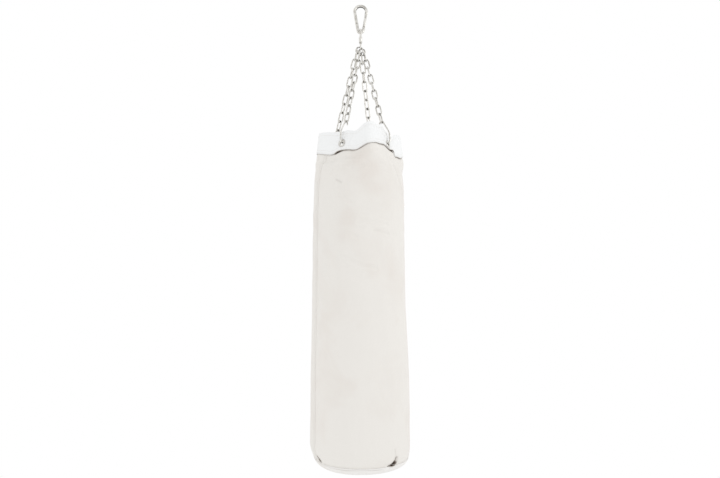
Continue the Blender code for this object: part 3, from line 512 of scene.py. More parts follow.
@dataclass(frozen=True)
class ClothFinish:
    """Woven canvas with stains, soft patches where one point attribute says, and painted shade and
    soiling where another says.
    """

    name: str
    colour: tuple
    shade: tuple
    stain: tuple
    shade_and_grime: tuple
    pitch: float = 0.0011
    relief: float = 0.00022
    blotch_scale: float = 6.0
    stain_share: float = 0.25
    seed: float = 0.0
    halo: tuple = (0.28, 0.18, 0.11, 1.0)

    def build(self, effects: Effects) -> Material:
        """Make the material.

        Args:
            effects: the shader groups.

        Returns:
            The material.
        """
        material, graph, shader = new_material(self.name)
        stain = linear(*self.stain)
        weave = graph.group(effects.weave, Pitch=self.pitch,
                            Vector=graph.node("ShaderNodeUVMap", uv_map="cloth"))
        blotch = graph.group(effects.blotches, Scale=self.blotch_scale, Seed=self.seed,
                             Vector=graph.node("ShaderNodeTexCoord").outputs["Object"])
        # painted shade in the weave: its low threads are mixed towards the darker shade colour
        low = graph.ramp(weave["Height"], 0.35, 0.75, 0.35, 0.0)
        colour = graph.mix(low, linear(*self.colour), linear(*self.shade))
        for mask, share in (("Cloud", self.stain_share), ("Marks", 0.5 * self.stain_share)):
            colour = graph.mix(graph.math("MULTIPLY", blotch[mask], share), colour, stain)
        colour = graph.mix(graph.painted("blot"), colour, stain)
        # painted shade and soiling: where the second point attribute is high, a brown halo and then
        # the dark brown colour, uneven along the way
        uneven = graph.math("ADD", 0.8, graph.math("MULTIPLY", blotch["Marks"], 0.4))
        shade_and_dirt = graph.math("MULTIPLY", graph.painted("shade_and_grime"), uneven, clamp=True)
        colour = graph.mix(graph.ramp(shade_and_dirt, 0.0, 0.7, 0.0, 0.55), colour, self.halo)
        bump = graph.node("ShaderNodeBump", {"Height": weave["Height"], "Distance": self.relief,
                                             "Strength": 0.6})
        graph.feed(shader, {
            "Base Color": graph.mix(shade_and_dirt, colour, linear(*self.shade_and_grime)),
            "Roughness": graph.ramp(weave["Slubs"], 0.0, 1.0, 0.92, 0.8),
            "Normal": bump, "Specular IOR Level": 0.25, "Sheen Weight": 0.08,
            "Sheen Roughness": 0.5})
        return material


class Finishes:
    """Every finish on the bag."""

    def __init__(self, effects: Effects) -> None:
        """Build the materials.

        Args:
            effects: the shader groups that they use.
        """
        # the brown of the painted shade line along the base seam
        base_shade_brown = (98, 80, 58)
        self.plated = MetalFinish("plated_steel_bright", (228, 226, 221), (203, 200, 194), 0.13,
                                  0.25).build(effects)
        self.spring = MetalFinish("spring_steel", (170, 170, 172), (130, 130, 132), 0.3,
                                  0.4).build(effects)
        self.brass = MetalFinish("brass_turned", (205, 170, 98), (160, 128, 70), 0.25,
                                 0.4).build(effects)
        # the collar's brown: painted shade along its lower edge, and darker canvas round the
        # grommets
        self.collar = ClothFinish("collar_duck", (249, 250, 250), (234, 235, 236),
                                  (226, 222, 214), (120, 100, 78), pitch=0.0010,
                                  stain_share=0.3, seed=3.0).build(effects)
        # the near black brown of the body's painted shade, under the collar, along the base seam
        # and in the creases
        self.body = ClothFinish("body_duck", (239, 236, 231), (222, 218, 211), (222, 211, 202),
                                (48, 33, 20), stain_share=0.20, blotch_scale=7.0).build(effects)
        self.base = ClothFinish("base_duck", (245, 243, 240), (229, 226, 221), (222, 214, 204),
                                base_shade_brown, stain_share=0.35, seed=7.0).build(effects)
        self.thread = ClothFinish("sewing_thread", (241, 239, 235), (226, 222, 215),
                                  (214, 206, 194), base_shade_brown, pitch=0.0004,
                                  relief=0.0001).build(effects)


# Mesh helpers


def turns(steps: int, sweep: float = tau, end: bool = False) -> list[float]:
    """Angles from 0 in equal steps of a sweep, with or without its end."""
    return [sweep * i / steps for i in range(steps + end)]


def settle(piece: Object) -> Object:
    """Replace a piece's mesh by what its modifiers make of it, and drop them.

    Args:
        piece: the piece with its modifiers.

    Returns:
        The same piece with a plain mesh.
    """
    graph = bpy.context.evaluated_depsgraph_get()
    mesh = bpy.data.meshes.new_from_object(piece.evaluated_get(graph))
    mesh.name = piece.name
    piece.modifiers.clear()
    piece.data = mesh
    return piece


def link_object(name: str, mesh: Mesh, material: Material | None = None) -> Object:
    """An object at the origin for a mesh.

    Args:
        name: the object's name.
        mesh: its mesh.
        material: its finish, if it gets one here.

    Returns:
        The new object.
    """
    piece = bpy.data.objects.new(name, mesh)
    bpy.context.scene.collection.objects.link(piece)
    if material is not None:
        dress(piece, material)
    return piece


def dress(piece: Object, material: Material) -> None:
    """Give a piece one finish."""
    piece.data.materials.clear()
    piece.data.materials.append(material)


def attach(piece: Object, body: Body, slot: Slot, *nodes: str) -> Object:
    """Make a piece ride on a body in place of CAD nodes.

    Args:
        piece: the piece.
        body: the body that it moves with.
        slot: the material slot that it stands for; not used.
        nodes: the CAD nodes that it replaces.

    Returns:
        The piece.
    """
    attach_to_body(piece, body.value)
    if nodes:
        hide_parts(*nodes)
    LOG.info("%s: %d faces, rides on %s", piece.name, len(piece.data.polygons), body.value)
    return piece


def from_work(name: str, work: bmesh.types.BMesh) -> Mesh:
    """A new mesh from a bmesh, which is freed.

    Args:
        name: the mesh's name.
        work: the bmesh.

    Returns:
        The mesh.
    """
    mesh = bpy.data.meshes.new(name)
    work.to_mesh(mesh)
    work.free()
    return mesh


def face_outwards(mesh: Mesh, merge: bool = False) -> None:
    """Turn a closed mesh's faces outwards.

    Args:
        mesh: the mesh.
        merge: joins points that lie on each other first.
    """
    work = bmesh.new()
    work.from_mesh(mesh)
    if merge:
        bmesh.ops.remove_doubles(work, verts=work.verts, dist=TOUCHING)
    bmesh.ops.recalc_face_normals(work, faces=work.faces)
    work.to_mesh(mesh)
    work.free()


def polylines(name: str, paths: list[list[Vector]], closed: bool, **attributes: list) -> Mesh:
    """A mesh of polylines with point attributes.

    Args:
        name: the mesh's name.
        paths: the points of each line.
        closed: whether each line ends where it starts.
        attributes: for each name a number or vector per point, line after line.

    Returns:
        The mesh.
    """
    points, edges = [], []
    for path in paths:
        first = len(points)
        points += [tuple(point) for point in path]
        edges += [(i, i + 1) for i in range(first, len(points) - 1)]
        if closed:
            edges.append((len(points) - 1, first))
    mesh = bpy.data.meshes.new(name)
    mesh.from_pydata(points, edges, [])
    for key, values in attributes.items():
        kind, field = (("FLOAT", "value") if isinstance(values[0], float)
                       else ("FLOAT_VECTOR", "vector"))
        layer = mesh.attributes.new(key, kind, "POINT")
        layer.data.foreach_set(field, np.array([tuple(v) for v in values] if field == "vector"
                                               else values, np.float32).ravel())
    return mesh


def read_points(mesh: Mesh) -> np.ndarray:
    """A mesh's points, one in each row.

    Args:
        mesh: the mesh.

    Returns:
        The points.
    """
    points = np.zeros(len(mesh.vertices) * 3)
    mesh.vertices.foreach_get("co", points)
    return points.reshape(-1, 3)


def store(mesh: Mesh, name: str, values: np.ndarray) -> None:
    """Keep a number for each point of a mesh, under this name."""
    layer = mesh.attributes.new(name, "FLOAT", "POINT")
    layer.data.foreach_set("value", values.astype(np.float32))


def paint_contact_shade(piece: Object, spots: list[Vector], radius: float) -> None:
    """Paint shade and a dark reflection on a metal piece round the points where what hangs on it
    touches.

    Args:
        piece: the piece.
        spots: the points where it touches.
        radius: how far the painted shade reaches.
    """
    points = read_points(piece.data)
    far = np.min([np.linalg.norm(points - np.array(spot), axis=1) for spot in spots], axis=0)
    store(piece.data, "painted_contact_shade", np.clip(1.6 - 1.6 * far / radius, 0.0, 1.0))


def lathe(name: str, profile: list[tuple[float, float]], steps: int, matrix: Matrix | None = None,
          closed: bool = False) -> Mesh:
    """A profile turned about Z.

    Args:
        name: the mesh's name.
        profile: (radius, height) points, from the top down on the outside.
        steps: the number of columns.
        matrix: where the mesh goes.
        closed: whether the profile is a closed loop, as on a washer.

    Returns:
        The mesh.
    """
    work = bmesh.new()
    rows = [
        [work.verts.new((radius * cos(a), radius * sin(a), height))
         for a in turns(steps if radius > TOUCHING else 1)]
        for radius, height in profile
    ]
    for upper, lower in zip(rows, rows[1:] + (rows[:1] if closed else [])):
        for i in range(steps):
            k = (i + 1) % steps
            corners = [upper[i % len(upper)], lower[i % len(lower)], lower[k % len(lower)],
                       upper[k % len(upper)]]
            work.faces.new(list(dict.fromkeys(corners)))
    bmesh.ops.recalc_face_normals(work, faces=work.faces)
    mesh = from_work(name, work)
    if matrix is not None:
        mesh.transform(matrix)
    mesh.shade_smooth()
    mesh.set_sharp_from_angle(angle=TURNED_EDGE)
    return mesh


def mirrored(profile: list[tuple[float, float]]) -> list[tuple[float, float]]:
    """The upper half of a profile, and the same below in reverse order."""
    return profile + [(radius, -height) for radius, height in reversed(profile)]


def pin(name: str, radius: float, length: float, steps: int, matrix: Matrix) -> Mesh:
    """A plain pin that stands along Z, then placed."""
    return lathe(name, mirrored([(0.0, length / 2), (radius, length / 2)]), steps, matrix)


def block(name: str, size: tuple, centre: Vector, turn: Matrix) -> Mesh:
    """A box.

    Args:
        name: the mesh's name.
        size: its size.
        centre: where its centre goes.
        turn: how it is turned about its centre.

    Returns:
        The mesh.
    """
    work = bmesh.new()
    bmesh.ops.create_cube(work, size=1.0)
    bmesh.ops.scale(work, vec=size, verts=work.verts)
    bmesh.ops.transform(work, matrix=Matrix.Translation(centre) @ turn, verts=work.verts)
    return from_work(name, work)


def plate(name: str, radius: float, length: float, thickness: float, steps: int,
          matrix: Matrix) -> Mesh:
    """A flat bar, round about the origin at its +Y end and straight along -Y, then placed.

    Args:
        name: the mesh's name.
        radius: half its width.
        length: its straight length.
        thickness: its thickness along Z.
        steps: segments in the round end.
        matrix: where it goes.

    Returns:
        The mesh.
    """
    outline = [(radius * cos(a), radius * sin(a)) for a in turns(steps, pi, True)]
    outline += [(-radius, -length), (radius, -length)]
    count = len(outline)
    points = [(x, y, z) for z in (thickness / 2, -thickness / 2) for x, y in outline]
    faces = [tuple(range(count)), tuple(range(2 * count - 1, count - 1, -1))]
    faces += [(i, i + count, (i + 1) % count + count, (i + 1) % count) for i in range(count)]
    mesh = bpy.data.meshes.new(name)
    mesh.from_pydata(points, [], faces)
    mesh.transform(matrix)
    return mesh


def work_on(piece: Object, *tools: tuple[Operation, Mesh]) -> None:
    """Join and cut a piece with tools, one after the other.

    Args:
        piece: the piece, which ends with a plain mesh.
        tools: the operation and the mesh of each tool.
    """
    carriers = []
    for operation, mesh in tools:
        carriers.append(link_object(mesh.name + "_tool", mesh))
        modifier = piece.modifiers.new(mesh.name, "BOOLEAN")
        modifier.operation = operation.value
        modifier.object = carriers[-1]
        modifier.solver = "EXACT"
    settle(piece)
    for carrier in carriers:
        bpy.data.objects.remove(carrier)


def soften(piece: Object, width: float, material: Material) -> None:
    """Round the sharp edges of a metal piece and give it its finish.

    Args:
        piece: the piece, which ends with a plain mesh.
        width: the width of the rounding.
        material: the finish.
    """
    bevel = piece.modifiers.new("edge", "BEVEL")
    bevel.width = width
    bevel.segments = 2
    bevel.limit_method = "ANGLE"
    bevel.angle_limit = BEVELLED_EDGE
    bevel.use_clamp_overlap = True
    settle(piece)
    piece.data.shade_smooth()
    piece.data.set_sharp_from_angle(angle=CUT_EDGE)
    dress(piece, material)


def arc(centre: tuple, radius: float, start: float, end: float, steps: int) -> list[Vector]:
    """Points in the XZ plane on an arc, its angles measured from +X towards +Z."""
    return [Vector((centre[0] + radius * cos(start + a), 0.0,
                    centre[1] + radius * sin(start + a)))
            for a in turns(steps, end - start, True)]


def rounded(points: list[Vector], radius: float, steps: int = 6) -> list[Vector]:
    """A polyline with its inner corners rounded off.

    Args:
        points: the corners and the two ends.
        radius: the distance from a corner at which the rounding starts.
        steps: segments in a rounded corner.

    Returns:
        The new points.
    """
    result = [points[0]]
    for before, here, after in zip(points, points[1:], points[2:]):
        reach = min(radius, (before - here).length / 2, (after - here).length / 2)
        start = here + (before - here).normalized() * reach
        end = here + (after - here).normalized() * reach
        result += [start * (1 - t) ** 2 + here * 2 * t * (1 - t) + end * t ** 2
                   for t in turns(steps, 1.0, True)]
    return [*result, points[-1]]


def outward(azimuth: float) -> Vector:
    """The level direction away from the bag's axis at this azimuth."""
    return Vector((sin(azimuth), -cos(azimuth), 0.0))


def sideways(azimuth: float) -> Vector:
    """The level direction square to outward, towards growing azimuth."""
    return Vector((cos(azimuth), sin(azimuth), 0.0))


def up(height: float) -> Vector:
    """A point on the vertical axis."""
    return Vector((0.0, 0.0, height))


def set_up(first: Vector, second: Vector, third: Vector, place: Vector) -> Matrix:
    """The matrix that turns the axes to these directions and moves to a place.

    Args:
        first: where X goes.
        second: where Y goes.
        third: where Z goes.
        place: where the origin goes.

    Returns:
        The matrix.
    """
    matrix = Matrix((first, second, third)).transposed().to_4x4()
    matrix.translation = place
    return matrix


def middle_of(node: str) -> Vector:
    """The middle of a CAD node's box."""
    return sum(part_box(node), Vector()) / 2


# Metal parts


@dataclass
class BarMaker:
    """Makes bent bars with the bent bar tree."""

    trees: ShapeTrees
    dome_steps: int = 5
    last_angle: float = radians(80.0)
    least_share: float = 0.15
    dome_clear: float = 1.05

    def make(self, name: str, path: list[Vector], thickness: float, material: Material,
             sides: int = 20, closed: bool = False, dome: float = 0.0) -> Object:
        """Make a bar along a path.

        Args:
            name: the piece's name.
            path: its centreline.
            thickness: the bar's thickness.
            material: its finish.
            sides: faces round it.
            closed: whether it is a ring.
            dome: the height of its rounded ends, if it has them.

        Returns:
            The piece.
        """
        spots = self.domed(path, dome) if dome else [(point, 1.0) for point in path]
        mesh = polylines(name, [[point for point, _ in spots]], closed,
                         swell=[share for _, share in spots])
        bar = self.trees.run(Shape.BAR, mesh, Radius=thickness / 2, Sides=sides, Caps=not closed,
                             Material=material)
        face_outwards(bar.data, merge=True)
        return bar

    def domed(self, path: list[Vector], dome: float) -> list[tuple[Vector, float]]:
        """Rounded ends for an open path.

        Args:
            path: the centreline.
            dome: the height of each rounded end.

        Returns:
            The new points, each with the share of the bar's thickness there.
        """
        angles = turns(self.dome_steps, QUARTER) + [self.last_angle]
        ends = [[(tip - (tip - inner).normalized() * dome * (1 - sin(a)),
                  max(cos(a), self.least_share)) for a in angles]
                for tip, inner in ((path[0], path[1]), (path[-1], path[-2]))]
        middle = [(p, 1.0) for p in path[1:-1]
                  if min((p - path[0]).length, (p - path[-1]).length) > dome * self.dome_clear]
        return ends[0][::-1] + middle + ends[1]


@dataclass
class SnapHook:
    """A pear-shaped bow of round bar with a spring gate."""

    bars: BarMaker
    finishes: Finishes
    bar: float = 0.0100
    top_radius: float = 0.0195
    foot_radius: float = 0.0090
    inner_length: float = 0.0840
    end_dome: float = 0.0012
    gate_from_top: float = 0.0250
    pivot_down: float = 0.0640
    gate_bar: float = 0.0088
    tongue_thick: float = 0.0032
    tongue_width: float = 0.0063
    tongue_length: float = 0.0068
    fork_depth: float = 0.0048
    nose_slot: float = 0.0070
    nose_tongue_length: float = 0.0052
    nose_tongue_width: float = 0.0058
    nose_pin_up: float = 0.0032
    nose_pin_length: float = 0.0092
    nose_pin_radius: float = 0.0013
    rivet_radius: float = 0.0016
    rivet_head_radius: float = 0.0030
    rivet_head_height: float = 0.0009
    spring_wire: float = 0.0006
    spring_radius: float = 0.0019
    spring_turns: int = 6
    spring_length: float = 0.0130
    spring_sides: int = 8
    spring_steps: int = 20
    bore_radius: float = 0.0027
    bow_edge: float = 0.00022
    gate_edge: float = 0.00025
    # how far the painted shade reaches inside the crown and the foot, where other parts bear on the
    # bow
    wear: float = 0.0048
    sides: int = 32
    steps: int = 24

    def build(self) -> None:
        """Make the bow, the gate and the small parts, and put them on their bodies."""
        self.top = (0.0, self.bar / 2 - self.top_radius)
        self.foot = (0.0, -self.inner_length - self.bar / 2 + self.foot_radius)
        self.touch = asin((self.top_radius - self.foot_radius) / (self.top[1] - self.foot[1]))
        self.down = Vector((-sin(self.touch), 0.0, -cos(self.touch)))
        self.tilt = Matrix.Rotation(self.touch, 4, "Y")
        self.pivot = self.side_at(self.pivot_down)
        self.nose = self.side_at(self.gate_from_top)
        self.nose_pin = self.nose - self.down * self.nose_pin_up
        self.build_bow()
        self.build_gate()
        self.build_pins()

    def side_at(self, down: float) -> Vector:
        """The point of the straight right side at this height below the origin."""
        start = arc(self.top, self.top_radius, -self.touch, 0.0, 1)[0]
        return start + self.down * ((start.z + down) / -self.down.z)

    def hole(self, name: str, radius: float, centre: Vector) -> tuple[Operation, Mesh]:
        """A cut for a pin from front to back through this point."""
        return Operation.CUT, pin(name, radius + GAP, THROUGH, self.steps,
                                  Matrix.Translation(centre) @ ACROSS)

    def build_bow(self) -> None:
        """The open bow with its slotted nose and its flattened end in the gate's fork."""
        end = self.pivot + self.down * self.tongue_length
        path = [end] + arc(self.foot, self.foot_radius, -self.touch, -pi + self.touch, 28)
        path += arc(self.top, self.top_radius, pi + self.touch, -self.touch, 48)
        bow = self.bars.make("snap_hook_bow", path + [self.nose], self.bar, self.finishes.plated,
                             self.sides, dome=self.end_dome)
        start = self.pivot - self.down * (self.gate_bar - self.tongue_width) / 2
        reach = (end - start).length + self.bar / 4
        room = self.tongue_thick + 2 * GAP
        work_on(
            bow,
            (Operation.JOIN, plate("tongue", self.tongue_width / 2, reach, self.tongue_thick,
                                   self.steps, Matrix.Translation(start) @ self.tilt @ ACROSS)),
            self.hole("rivet_hole", self.rivet_radius, self.pivot),
            (Operation.CUT, block("nose_slot", (THROUGH, room, 2 * self.nose_slot), self.nose,
                                  self.tilt)),
            (Operation.CUT, plate("pin_notch", self.nose_pin_radius + GAP, self.bar, THROUGH,
                                  self.steps, Matrix.Translation(self.nose_pin) @ self.tilt
                                  @ Matrix.Rotation(QUARTER, 4, "Y") @ ACROSS)),
        )
        soften(bow, self.bow_edge, self.finishes.plated)
        crown = arc(self.top, self.top_radius - self.bar / 2, radians(25.0), radians(155.0), 40)
        foot = arc(self.foot, self.foot_radius - self.bar / 2, pi * 1.15, pi * 1.85, 12)
        paint_contact_shade(bow, crown + foot, self.wear)
        attach(bow, Body.HOOK, Slot.PLATED, "carabiner_body")

    def build_gate(self) -> None:
        """The gate bar with its fork, its nose tongue and the bore for the spring."""
        low = self.pivot + self.down * self.gate_bar / 2
        high = self.nose + self.down * GAP
        gate = self.bars.make("snap_hook_gate", [low, (low + high) / 2, high], self.gate_bar,
                              self.finishes.plated, self.sides)
        fork = self.pivot - self.down * self.fork_depth
        above = (self.nose_tongue_length - self.gate_bar / 2) / 2
        tongue_size = (self.nose_tongue_width, self.tongue_thick,
                       self.nose_tongue_length + self.gate_bar / 2)
        slot_size = (THROUGH, self.tongue_thick + 2 * GAP, 2 * self.fork_depth + self.gate_bar)
        work_on(
            gate,
            (Operation.JOIN, block("nose_tongue", tongue_size, self.nose - self.down * above,
                                   self.tilt)),
            (Operation.CUT, block("fork_slot", slot_size, low, self.tilt)),
            self.hole("gate_hole", self.rivet_radius, self.pivot),
            (Operation.CUT, pin("spring_bore", self.bore_radius,
                                2 * (self.spring_length + 2 * GAP), self.steps,
                                Matrix.Translation(fork) @ self.tilt)),
            self.hole("pin_hole", self.nose_pin_radius, self.nose_pin),
        )
        soften(gate, self.gate_edge, self.finishes.plated)
        attach(gate, Body.GATE, Slot.PLATED, "carabiner_gate")

    def build_pins(self) -> None:
        """The domed rivet, the nose pin and the coil spring."""
        half = self.gate_bar / 2 + GAP
        dome = [(self.rivet_head_radius * sin(a), half + self.rivet_head_height * cos(a))
                for a in turns(7, QUARTER, True)]
        tip, edge = self.nose_pin_length / 2, self.nose_pin_radius
        chamfer = edge * 0.25
        point = [(0.0, tip), (edge - chamfer, tip), (edge, tip - chamfer)]
        for name, profile, steps, centre, body, node in (
            ("gate_rivet_domed", dome + [(self.rivet_radius, half)], self.sides, self.pivot,
             Body.HOOK, "gate_rivet"),
            ("gate_nose_pin_turned", point, self.steps, self.nose_pin, Body.GATE, "gate_nose_pin"),
        ):
            mesh = lathe(name, mirrored(profile), steps, Matrix.Translation(centre) @ ACROSS)
            attach(link_object(name, mesh, self.finishes.plated), body, Slot.PLATED, node)
        count = self.spring_turns * self.spring_steps
        place = Matrix.Translation(self.pivot - self.down * (self.fork_depth + GAP)) @ self.tilt
        rise = self.spring_length - self.spring_wire
        coil = [place @ Vector((self.spring_radius * cos(a), self.spring_radius * sin(a),
                                rise * i / count + self.spring_wire / 2))
                for i, a in enumerate(turns(count, tau * self.spring_turns, True))]
        spring = self.bars.make("gate_coil_spring", coil, self.spring_wire, self.finishes.spring,
                                self.spring_sides)
        attach(spring, Body.GATE, Slot.PLATED, "gate_spring")


@dataclass
class Swivel:
    """An eye with a barrel above and a stirrup-shaped eye with a headed shank below."""

    bars: BarMaker
    finishes: Finishes
    hook_foot: float = -0.0840
    eye_radius: float = 0.0125
    eye_bar: float = 0.0070
    barrel_radius: float = 0.0056
    barrel_top: float = -0.1040
    barrel_length: float = 0.0215
    barrel_wall: float = 0.0016
    barrel_edge: float = 0.0011
    groove_share: float = 0.72
    groove_half_width: float = 0.0009
    groove_depth: float = 0.0005
    lid: float = 0.0020
    washer: float = 0.0012
    shank_radius: float = 0.0024
    head_radius: float = 0.0035
    head_height: float = 0.0030
    head_edge: float = 0.0004
    half_width: float = 0.0125
    height: float = 0.0190
    corner: float = 0.0045
    shoulder: float = 0.0080
    stirrup_bar: float = 0.0048
    neck: float = 0.0030
    flare_width: float = 0.0011
    flare_height: float = 0.0014
    flare_up: float = 0.0012
    ring_apart: float = 0.0066
    eye_edge: float = 0.0004
    shank_edge: float = 0.0003
    # how far the painted shade reaches round the points where other parts bear
    eye_shade_reach: float = 0.0055
    shank_shade_reach: float = 0.0045
    steps: int = 40

    def build(self) -> None:
        """Make both halves and finish the washer between them."""
        bottom = self.barrel_top - self.barrel_length
        self.build_eye(bottom)
        dress(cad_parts["swivel_washer"], self.finishes.brass)
        self.build_shank(bottom)

    def build_eye(self, bottom: float) -> None:
        """The upper eye and its hollow barrel with a turned groove.

        Args:
            bottom: the height of the barrel's lower face.
        """
        centre = self.hook_foot + GAP + self.eye_bar / 2 - self.eye_radius
        ring = [Vector((0.0, cos(a), sin(a))) * self.eye_radius + up(centre) for a in turns(96)]
        eye = self.bars.make("swivel_eye", ring, self.eye_bar, self.finishes.plated, 24, True)
        top, edge, radius = self.barrel_top, self.barrel_edge, self.barrel_radius
        corner = [(radius - edge + edge * sin(a), edge * (1 - cos(a)))
                  for a in turns(4, QUARTER, True)]
        groove = top - self.barrel_length * self.groove_share
        barrel = [(0.0, top), *[(r, top - h) for r, h in corner],
                  (radius, groove + self.groove_half_width), (radius - self.groove_depth, groove),
                  (radius, groove - self.groove_half_width),
                  *[(r, bottom + h) for r, h in reversed(corner)], (0.0, bottom)]
        room_top = bottom + self.lid + self.washer + self.head_height + 3 * GAP
        room, bore = radius - self.barrel_wall, self.shank_radius + GAP
        hollow = [(0.0, room_top), (room, room_top), (room, bottom + self.lid),
                  (bore, bottom + self.lid), (bore, bottom - self.lid), (0.0, bottom - self.lid)]
        work_on(eye, (Operation.JOIN, lathe("barrel", barrel, self.steps)),
                (Operation.CUT, lathe("barrel_room", hollow, self.steps)))
        soften(eye, self.eye_edge, self.finishes.plated)
        paint_contact_shade(eye, [up(self.hook_foot), up(bottom)], self.eye_shade_reach)
        attach(eye, Body.EYE, Slot.PLATED, "swivel_barrel")

    def build_shank(self, bottom: float) -> None:
        """The stirrup and its headed stem.

        Args:
            bottom: the height of the barrel's lower face.
        """
        stirrup_top = bottom - self.neck - self.stirrup_bar / 2
        foot = stirrup_top - self.height
        half, corner, rise = self.half_width, self.corner, self.height - self.shoulder
        right = [Vector((0.0, half - corner + corner * sin(a), corner - corner * cos(a)))
                 for a in turns(10, QUARTER, True)]
        arch = [Vector((0.0, half * cos(a), self.shoulder + rise * sin(a)))
                for a in turns(36, pi, True)]
        left = [Vector((0.0, -p.y, p.z)) for p in reversed(right)]
        shank = self.bars.make("swivel_stirrup", [p + up(foot) for p in right + arch + left],
                               self.stirrup_bar, self.finishes.plated, 22, True)
        washer_top = bottom + self.lid + GAP + self.washer
        head_top = washer_top + GAP + self.head_height
        head, edge, stem = self.head_radius, self.head_edge, self.shank_radius
        flare = [(stem + self.flare_width * (1 - cos(a)),
                  bottom - self.neck + self.flare_up - self.flare_height * sin(a))
                 for a in turns(4, QUARTER, True)]
        stem_foot = stirrup_top - self.stirrup_bar / 4
        profile = [(0.0, head_top), (head - edge, head_top), (head, head_top - edge),
                   (head, washer_top + GAP), (stem, washer_top + GAP), *flare,
                   (flare[-1][0], stem_foot), (0.0, stem_foot)]
        work_on(shank, (Operation.JOIN, lathe("stem", profile, 32)))
        soften(shank, self.shank_edge, self.finishes.plated)
        inside = foot + self.stirrup_bar / 2
        paint_contact_shade(shank, [Vector((0.0, y, inside)) for y in (-self.ring_apart, self.ring_apart)],
               self.shank_shade_reach)
        attach(shank, Body.SHANK, Slot.PLATED, "swivel_shank")


@dataclass(frozen=True)
class Attachment:
    """Where a chain's S hook holds the collar."""

    name: str
    azimuth: float
    radius: float


ATTACHMENTS = (
    Attachment("back_left", radians(-121.0), 0.088),
    Attachment("front_left", radians(-34.0), 0.081),
    Attachment("back_right", radians(155.0), 0.076),
    Attachment("front_right", radians(58.0), 0.079),
)


@dataclass
class Chains:
    """The two rings, the four chains of welded links and the S hooks."""

    bars: BarMaker
    finishes: Finishes
    ring_radius: float = 0.0114
    ring_bar: float = 0.0042
    ring_contacts: tuple = (52, 90, 128, 222, 244, 296, 318)
    # how far the painted shade reaches where links and hooks bear on the rings and the S hooks
    ring_shade_reach: float = 0.0042
    hook_shade_reach: float = 0.0055
    link_bar: float = 0.0048
    link_width: float = 0.0200
    inner_length: float = 0.0299
    links: int = 9
    weld: float = 0.07
    hook_bar: float = 0.0048
    top_radius: float = 0.0075
    foot_radius: float = 0.0080
    reach: float = 0.0212
    drop: float = 0.0660
    tip: float = 0.0060
    end_dome: float = 0.0011
    curl: float = radians(215.0)
    bend_down: float = 0.0215
    bend_share: float = 0.62
    bend_radius: float = 0.0050
    straight: float = 0.0150
    wall_slope: float = 0.0010
    rise: float = 0.0040

    def build(self) -> None:
        """Make the rings, the chains and the hooks."""
        for node in ("ring_left", "ring_right"):
            path, spots = [
                [middle_of(node) + sideways(a).xzy * self.ring_radius for a in angles]
                for angles in (turns(56), map(radians, self.ring_contacts))]
            ring = self.bars.make("chain_" + node, path, self.ring_bar, self.finishes.plated,
                                  closed=True)
            paint_contact_shade(ring, spots, self.ring_shade_reach)
            attach(ring, Body.BAG, Slot.PLATED, node)
        for place in ATTACHMENTS:
            self.build_hook(place, self.build_chain(place))

    def build_chain(self, place: Attachment) -> Vector:
        """One chain, link by link where the CAD links are.

        Args:
            place: where the chain ends.

        Returns:
            The point inside the last link that the S hook hangs from.
        """
        nodes = [f"link_{place.name}_{i + 1}" for i in range(self.links)]
        centres, along, across = [], [], []
        for node in nodes:
            points = np.array([v.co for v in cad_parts[node].data.vertices])
            _, axes = np.linalg.eigh(np.cov((points - points.mean(axis=0)).T))
            centres.append(Vector((points.max(axis=0) + points.min(axis=0)) / 2))
            along.append(Vector(axes[:, 2]))
            across.append(Vector(axes[:, 1]))
        mesh = polylines("chain_" + place.name, [centres], False, along=along, across=across)
        chain = self.bars.trees.run(
            Shape.CHAIN, mesh, Bar=self.link_bar, Width=self.link_width, Weld=self.weld,
            Length=self.inner_length + 2 * self.link_bar, Material=self.finishes.plated)
        attach(chain, Body.BAG, Slot.PLATED, *nodes)
        direction = (centres[-1] - centres[0]).normalized()
        return centres[-1] + direction * (self.inner_length / 2 - GAP)

    def build_hook(self, place: Attachment, end: Vector) -> None:
        """The S hook between a chain and the collar.

        Args:
            place: where it holds the collar.
            end: the point that it hangs from.
        """
        matrix = set_up(outward(place.azimuth), sideways(place.azimuth), up(1.0), end)
        hook = self.bars.make("hook_" + place.name, [matrix @ p for p in self.hook_path()],
                              self.hook_bar, self.finishes.plated, 16, dome=self.end_dome)
        grip = matrix @ Vector((self.reach, 0.0, -self.drop - self.foot_radius))
        paint_contact_shade(hook, [end - up(self.hook_bar / 2), grip], self.hook_shade_reach)
        attach(hook, Body.BAG, Slot.PLATED, "s_hook_" + place.name)

    def hook_path(self) -> list[Vector]:
        """The S hook's centreline, outwards along X, from the point that it hangs from.

        Returns:
            The points, from the upper curl to the lower one's tip.
        """
        middle = GAP + self.hook_bar / 2 - self.top_radius
        curl = arc((0.0, middle), self.top_radius, self.curl, 0.0, 30)
        start = curl[-1]
        shank = Vector((self.reach + self.foot_radius, 0.0, self.rise - self.drop))
        over = Vector((start.x + (shank.x - start.x) * self.bend_share, 0.0,
                       start.z - self.bend_down))
        wall = Vector((shank.x - self.wall_slope, 0.0, over.z - self.straight))
        foot = arc((self.reach, -self.drop), self.foot_radius, 0.0, -pi, 26)
        leg = rounded([curl[-2], start, over, wall, shank, foot[1]], self.bend_radius)
        return curl[:-2] + leg + foot[2:] + [foot[-1] + up(self.tip)]


# Cloth parts


def wrap(angle: float | np.ndarray) -> float | np.ndarray:
    """Angles brought between -pi and pi."""
    return (angle + pi) % (2 * pi) - pi


def clamp(value: float) -> float:
    """A number brought between 0 and 1."""
    return min(1.0, max(0.0, value))


def ease(share: float | np.ndarray) -> float | np.ndarray:
    """A share from 0 to 1 that starts and ends gently."""
    return share * share * (3 - 2 * share)


def bell(value: np.ndarray, width: float) -> np.ndarray:
    """1 up to 0 and less the further a value is past it, over about this width."""
    return np.exp(-(np.maximum(0.0, value) / width) ** 2)


